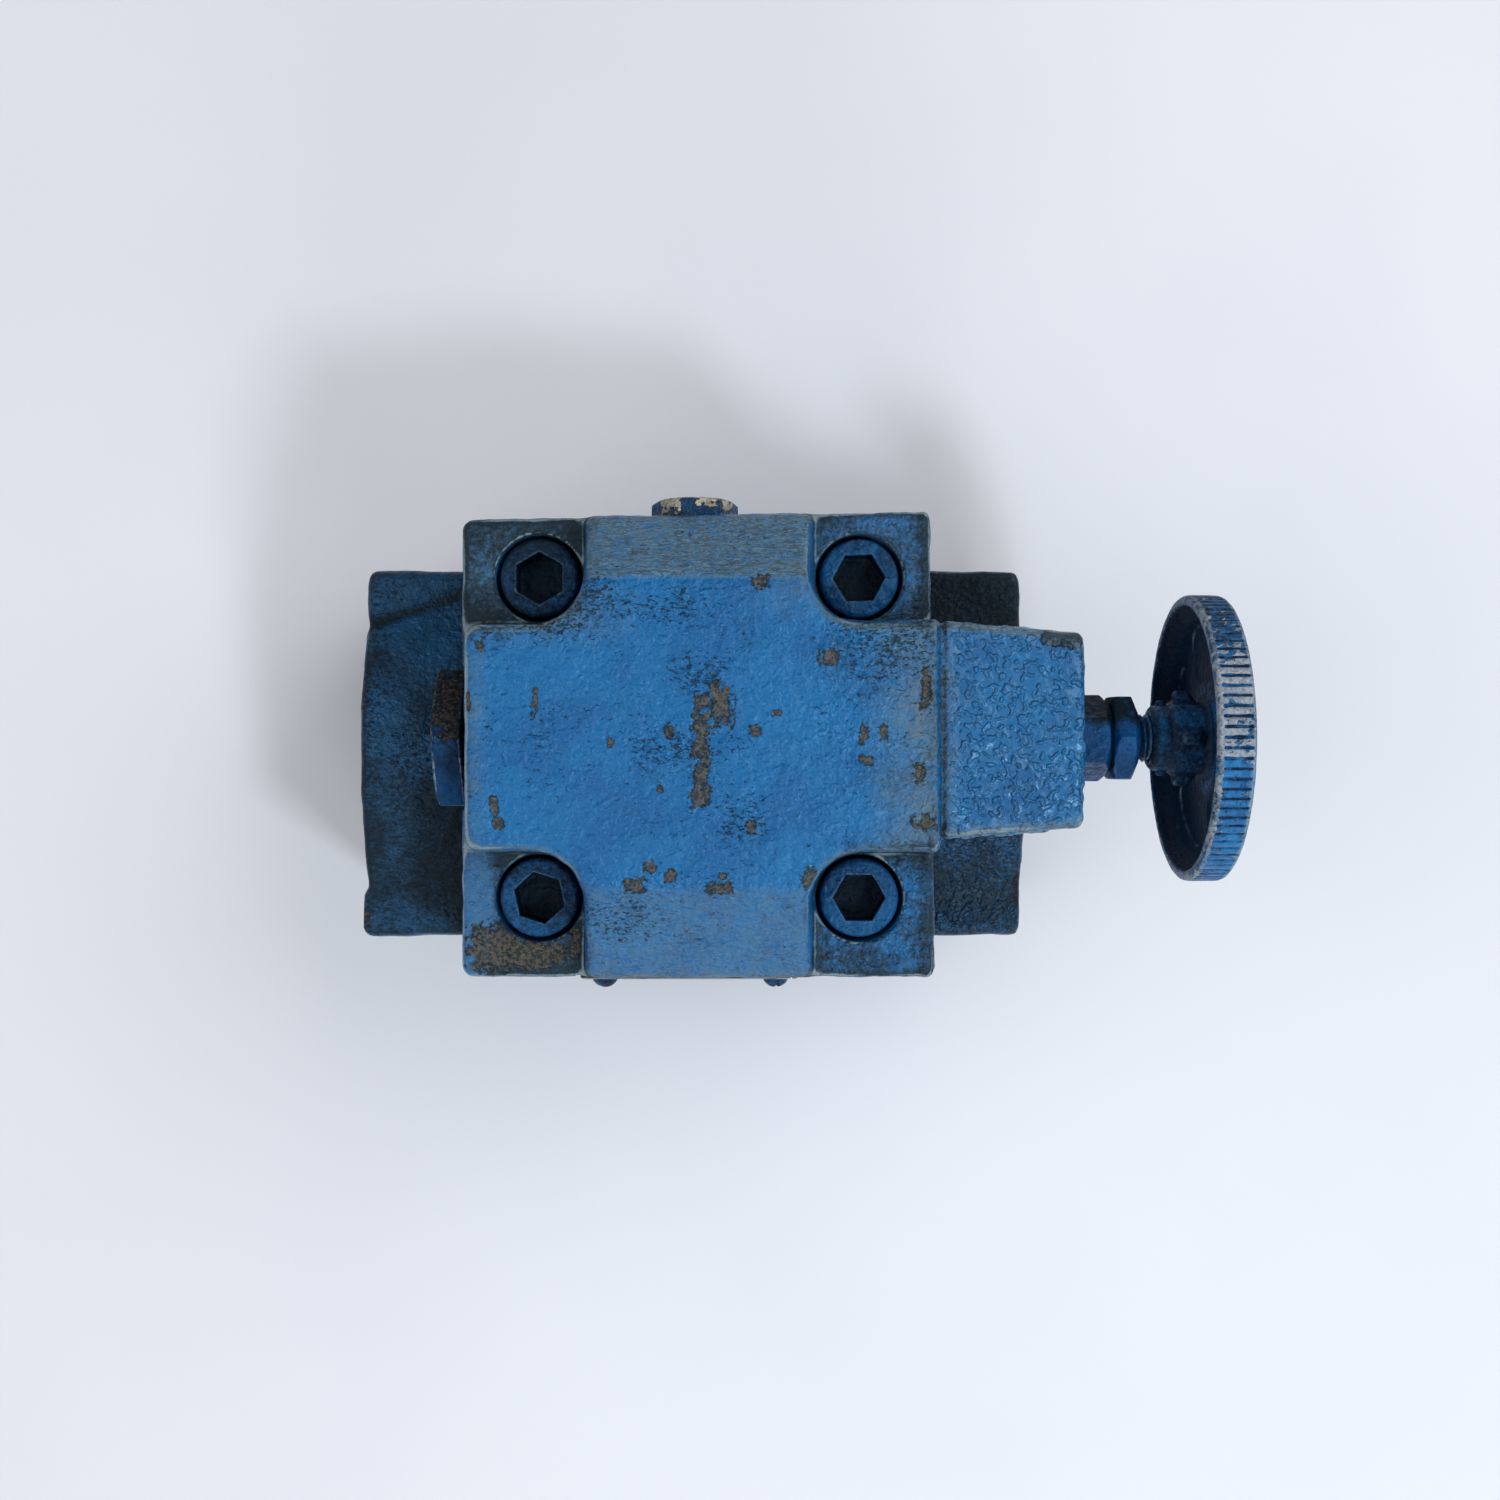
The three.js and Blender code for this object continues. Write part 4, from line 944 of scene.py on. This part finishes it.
# Along x: the rim's back lip, the web, and where the lobes of the hub start to taper.
LIP = 111.7
WEB = 117.1
FLANGE = 113.2


def petals(r, turn):
    """Outline of the five shallow recesses in the web, negative inside."""
    return soft_max(slab(r, 13.0, 26.5), 10 * (0.42 - np.abs(np.cos(2.5 * turn))), 4)


def wheel_field(x, y, z):
    u, v = y, z - AXIS
    r, turn = length(u, v), np.arctan2(z - AXIS, y)
    across = ((turn * GROOVES / (2 * math.pi)) % 1 - 0.5) * 2 * math.pi * WHEEL_R / GROOVES
    uneven = 0.75 + 0.2 * np.sin(turn * 41) * np.sin(turn * 17 + 1.3 * x)
    groove = uneven * np.exp(-((across / 0.36) ** 2)) * ramp(x, 112.6, 113.2) * ramp(-x, -119.7, -119.1)
    rim = soft_max(r - WHEEL_R + groove, slab(x, LIP, WHEEL_HIGH[0]), 1.4)
    wheel = cut(rim, rod(u, v, x, WHEEL_R - 2.4, 90, WEB, 6.0), 0.8)
    wheel = cut(wheel, soft_max(petals(r, turn), slab(x, 110, WEB + 0.5), 0.6), 0.6)
    wheel = cut(wheel, soft_max(slab(r, 10.5, 29.0), slab(x, 119.3, 125), 1.5), 0.8)
    hub = soft_min(rod(u, v, x, 7.6, WHEEL_LOW[0], 110, 1.6), rod(u, v, x, 8.2, 108.4, 119, 0.8), 0.5)
    reach = 11.2 - 1.3 * np.clip(x - FLANGE, 0, None)
    for a, b in ((u, v), (v, u)):
        lobe = soft_max(np.abs(a) - reach, np.abs(b) - 2.6 + 0.12 * np.abs(a), 2.0)
        hub = soft_min(hub, soft_max(lobe, slab(x, 109.5, 119), 1.4), 0.9)
    wheel = soft_min(wheel, hub, 1.6)
    wheel = cut(wheel, rod(u, v, x, STEM_R, 100, 130), 0.6)
    return cut(wheel, rod(x - PIN_X, v, y, 1.3, -20, 20), 0.2)


def wheel_marks(p, n):
    x, y, z = p.T
    u, v = y, z - AXIS
    r = length(u, v)
    around = np.degrees(np.arctan2(u, v))
    outer = ramp(r, WHEEL_R - 0.5, WHEEL_R - 0.15) * ramp(x, 111, 112)
    rubbed = ramp(around, -12, -4) * ramp(-around, -38, -26)
    rubbed += 0.7 * np.exp(-(((around - 150) / 22) ** 2)) + 0.6 * np.exp(-(((around + 100) / 16) ** 2))
    rubbed += 0.5 * np.exp(-(((around - 78) / 9) ** 2))
    rubbed += 0.25 * ramp(around, 26, 34) * ramp(-around, -70, -50)
    lip = ramp(-x, -113.4, -112.6) * ramp(r, WHEEL_R - 2.6, WHEEL_R - 1.8)
    chip = outer * (0.62 * rubbed + 0.19 + 0.3 * lumps(p * (0.3, 1, 1), 1.6, 31))
    chip = np.maximum(chip, lip * (0.5 + 0.3 * rubbed + 0.3 * lumps(p, 4, 34)))
    # Painted shade fills the dish, deeper away from the hub, and painted highlights run along the petal
    # outlines.
    dish = ramp(-r, -31.0, -30.4) * ramp(-x, -118.6, -118.2)
    outline = np.exp(-((petals(r, np.arctan2(v, u)) / 0.35) ** 2))
    outline *= ramp(x, 116, 117) * ramp(-x, -118.4, -118)
    grime = dish * (0.55 + 0.5 * ramp(r, 11, 15)) + 0.05
    grime += 0.5 * ramp(around, 26, 44) * ramp(-around, -130, -100) * outer
    return {
        "chip": np.clip(chip, 0, 1),
        "grime": np.clip(grime - 0.2 * outline * dish, 0, 2),
        "rub": 0.12 * outline + 0.48 * outer,
        "speck": 0.2 * outer,
    }


def wheel_relief(p, n, marks):
    return 0.05 * lumps(p, 4, 32) + 0.03 * lumps(p, 1.6, 33)


dress(
    "handwheel_cast", "handwheel", "adjuster", wheel_paint, wheel_field,
    step=0.34, reach=0.5, relief=wheel_relief, marks=wheel_marks,
)


# ---- Nameplate ----
PLATE_LOW, PLATE_HIGH = box_mm("nameplate")
PLATE_X, PLATE_Z = (PLATE_LOW[0] + PLATE_HIGH[0]) / 2, (PLATE_LOW[2] + PLATE_HIGH[2]) / 2
PLATE_SCREW_X = {"nameplate_screw_left": PLATE_X - 20, "nameplate_screw_right": PLATE_X + 20}


def plate_field(x, y, z):
    u, v = x - PLATE_X, z - PLATE_Z
    sheet = soft_max(rectangle(u, v, 25, 10.5, 2), slab(y, PLATE_LOW[1], PLATE_HIGH[1]), 0.2)
    sheet = cut(sheet, np.maximum(rectangle(u, v, 23.6, 9.1, 1.2), y - PLATE_LOW[1] - 0.3), 0.15)
    for row in (-4.5, 0.0, 4.5):
        bar = np.maximum(rectangle(u, v - row, 14, 0.35, 0.3), slab(y, PLATE_LOW[1] + 0.05, PLATE_HIGH[1]))
        sheet = soft_min(sheet, bar, 0.1)
    for centre in PLATE_SCREW_X.values():
        sheet = cut(sheet, rod(x - centre, v, y, 1.7, -60, -50), 0.1)
    return sheet


def plate_metal():
    """Thin sheet with a black finish that has rubbed off its edges and its raised lines."""
    s = Shading("plate_metal")
    fine, middle = s.noise(0.5, 4, 0.65), s.noise(2.5, 4, 0.6)
    gone = s.band(s.add(s.mark("edge"), s.times(middle, 0.9), s.times(fine, 0.4)), 1.2, 1.35)
    base = s.mix(gone, s.mix(middle, rgb(20, 22, 25), rgb(40, 43, 46)), rgb(170, 172, 172))
    return s.finish(base, s.band(gone, 0, 1, 0.5, 0.3), s.bump(fine, 0.02), metallic=s.times(gone, 0.9))


def patchy_dirt(p, n):
    return {"grime": 0.6 + 0.3 * lumps(p, 2, 24)}


dress(
    "nameplate_stamped", "nameplate", "valve", plate_metal(), plate_field,
    step=0.27, reach=0.3,
)

for name, turn in (("nameplate_screw_left", 65), ("nameplate_screw_right", -20)):
    low, high = box_mm(name)

    def round_head_field(x, y, z, low=low, high=high, turn=math.radians(turn), centre=PLATE_SCREW_X[name]):
        """A round head with a screwdriver slot, and its shank."""
        u, v = x - centre, z - PLATE_Z
        across = u * math.cos(turn) + v * math.sin(turn)
        head = soft_max(length(u, v, y - low[1] - 3.25) - 3.25, y - low[1] - 3.05, 0.3)
        slot = np.maximum(np.abs(across) - 0.5, y - low[1] - 1.2)
        return soft_min(cut(head, slot, 0.2), rod(u, v, y, 1.4, low[1] + 2.8, high[1], 0.3), 0.2)

    dress(
        name + "_turned", name, "valve", fastener_paint, round_head_field,
        step=0.17, reach=0.4, marks=patchy_dirt,
    )


# ---- Port threads ----
THREAD_PITCH = 25.4 / 11


def port_thread_field(side, end):
    """A threaded sleeve lining one port. G 1 1/4 has 11 threads to the inch."""

    def field(x, y, z):
        u, v = y - PORT_Y, z - PORT_Z
        r, turn = length(u, v), np.arctan2(v, u)
        wall = soft_max(r - 21.1, -thread(r, turn, side * x, THREAD_PITCH, 19.3, 1.3), 0.15)
        return soft_max(wall, slab(side * x, side * end - 26, side * end - 0.9), 0.5)

    return field


for name, side, end in (("inlet_thread_cut", -1, ENDS["x"][0]), ("outlet_thread_cut", 1, ENDS["x"][1])):
    ends = sorted((end, end - side * 27))
    low, high = (ends[0], PORT_Y - 21.5, PORT_Z - 21.5), (ends[1], PORT_Y + 21.5, PORT_Z + 21.5)
    sleeve = skin(name, port_thread_field(side, end), low, high, step=0.5, reach=0.6)
    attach(sleeve, "valve")
    sleeve.data.materials.append(cut_iron)


# ---- Plain materials for the CAD nodes that stay ----
PLAIN = {
    "steel": steel,
    "spring_steel": spring_steel,
    "brass": brass,
    "seal_rubber": seal_rubber,
    "fastener_paint": fastener_paint,
    "wheel_paint": wheel_paint,
    "plate_metal": steel,
    "housing_paint": housing_paint,
    "body_paint": body_paint,
}
slots = {row["node"]: row["material_slot"] for row in frame["record"]["subparts"]}
for name, node in frame["nodes"].items():
    node.data.materials.clear()
    node.data.materials.append(PLAIN[slots[name]])


# ---- Stage ----
def floor_material():
    s = Shading("floor")
    cloud = s.noise(160, 3, 0.5)
    base = s.mix(s.band(cloud, 0.3, 0.7), rgb(228, 230, 236), rgb(224, 226, 233))
    return s.finish(base, 0.7, s.bump(s.noise(1.2, 3), 0.02))


bpy.ops.mesh.primitive_plane_add(size=4, location=(0, 0, -0.0006))
floor = bpy.context.object
floor.name = "floor"
floor.data.materials.append(floor_material())

# The photo was taken from straight above, about half a metre up.
camera_data = bpy.data.cameras.new("camera")
camera_data.lens, camera_data.sensor_width = 41.47, 36
camera = bpy.data.objects.new("camera", camera_data)
camera.location = (0.0116, -0.00275, 0.5017)
bpy.context.scene.collection.objects.link(camera)
bpy.context.scene.camera = camera


def lamp(name, place, size, power, colour=(1, 1, 1)):
    """A square area light that faces the object."""
    data = bpy.data.lights.new(name, "AREA")
    data.size, data.energy, data.color = size, power, colour
    light = bpy.data.objects.new(name, data)
    light.location = place
    aim = -light.location.to_3d().normalized()
    light.rotation_euler = aim.to_track_quat("-Z", "Y").to_euler()
    bpy.context.scene.collection.objects.link(light)


lamp("window", (1.1, 0.6, 1.3), 1.3, 16)
lamp("room", (-0.95, -0.2, 1.2), 1.3, 9)
lamp("door", (0.62, -0.6, 1.15), 0.2, 6.5, (0.82, 0.93, 1))
lamp("front", (0.4, -1.3, 0.75), 0.6, 5)
world = bpy.data.worlds.new("studio")
world.use_nodes = True
world.node_tree.nodes["Background"].inputs["Color"].default_value = (0.86, 0.88, 0.92, 1)
world.node_tree.nodes["Background"].inputs["Strength"].default_value = 0.22
bpy.context.scene.world = world
bpy.context.scene.view_settings.view_transform = "Standard"
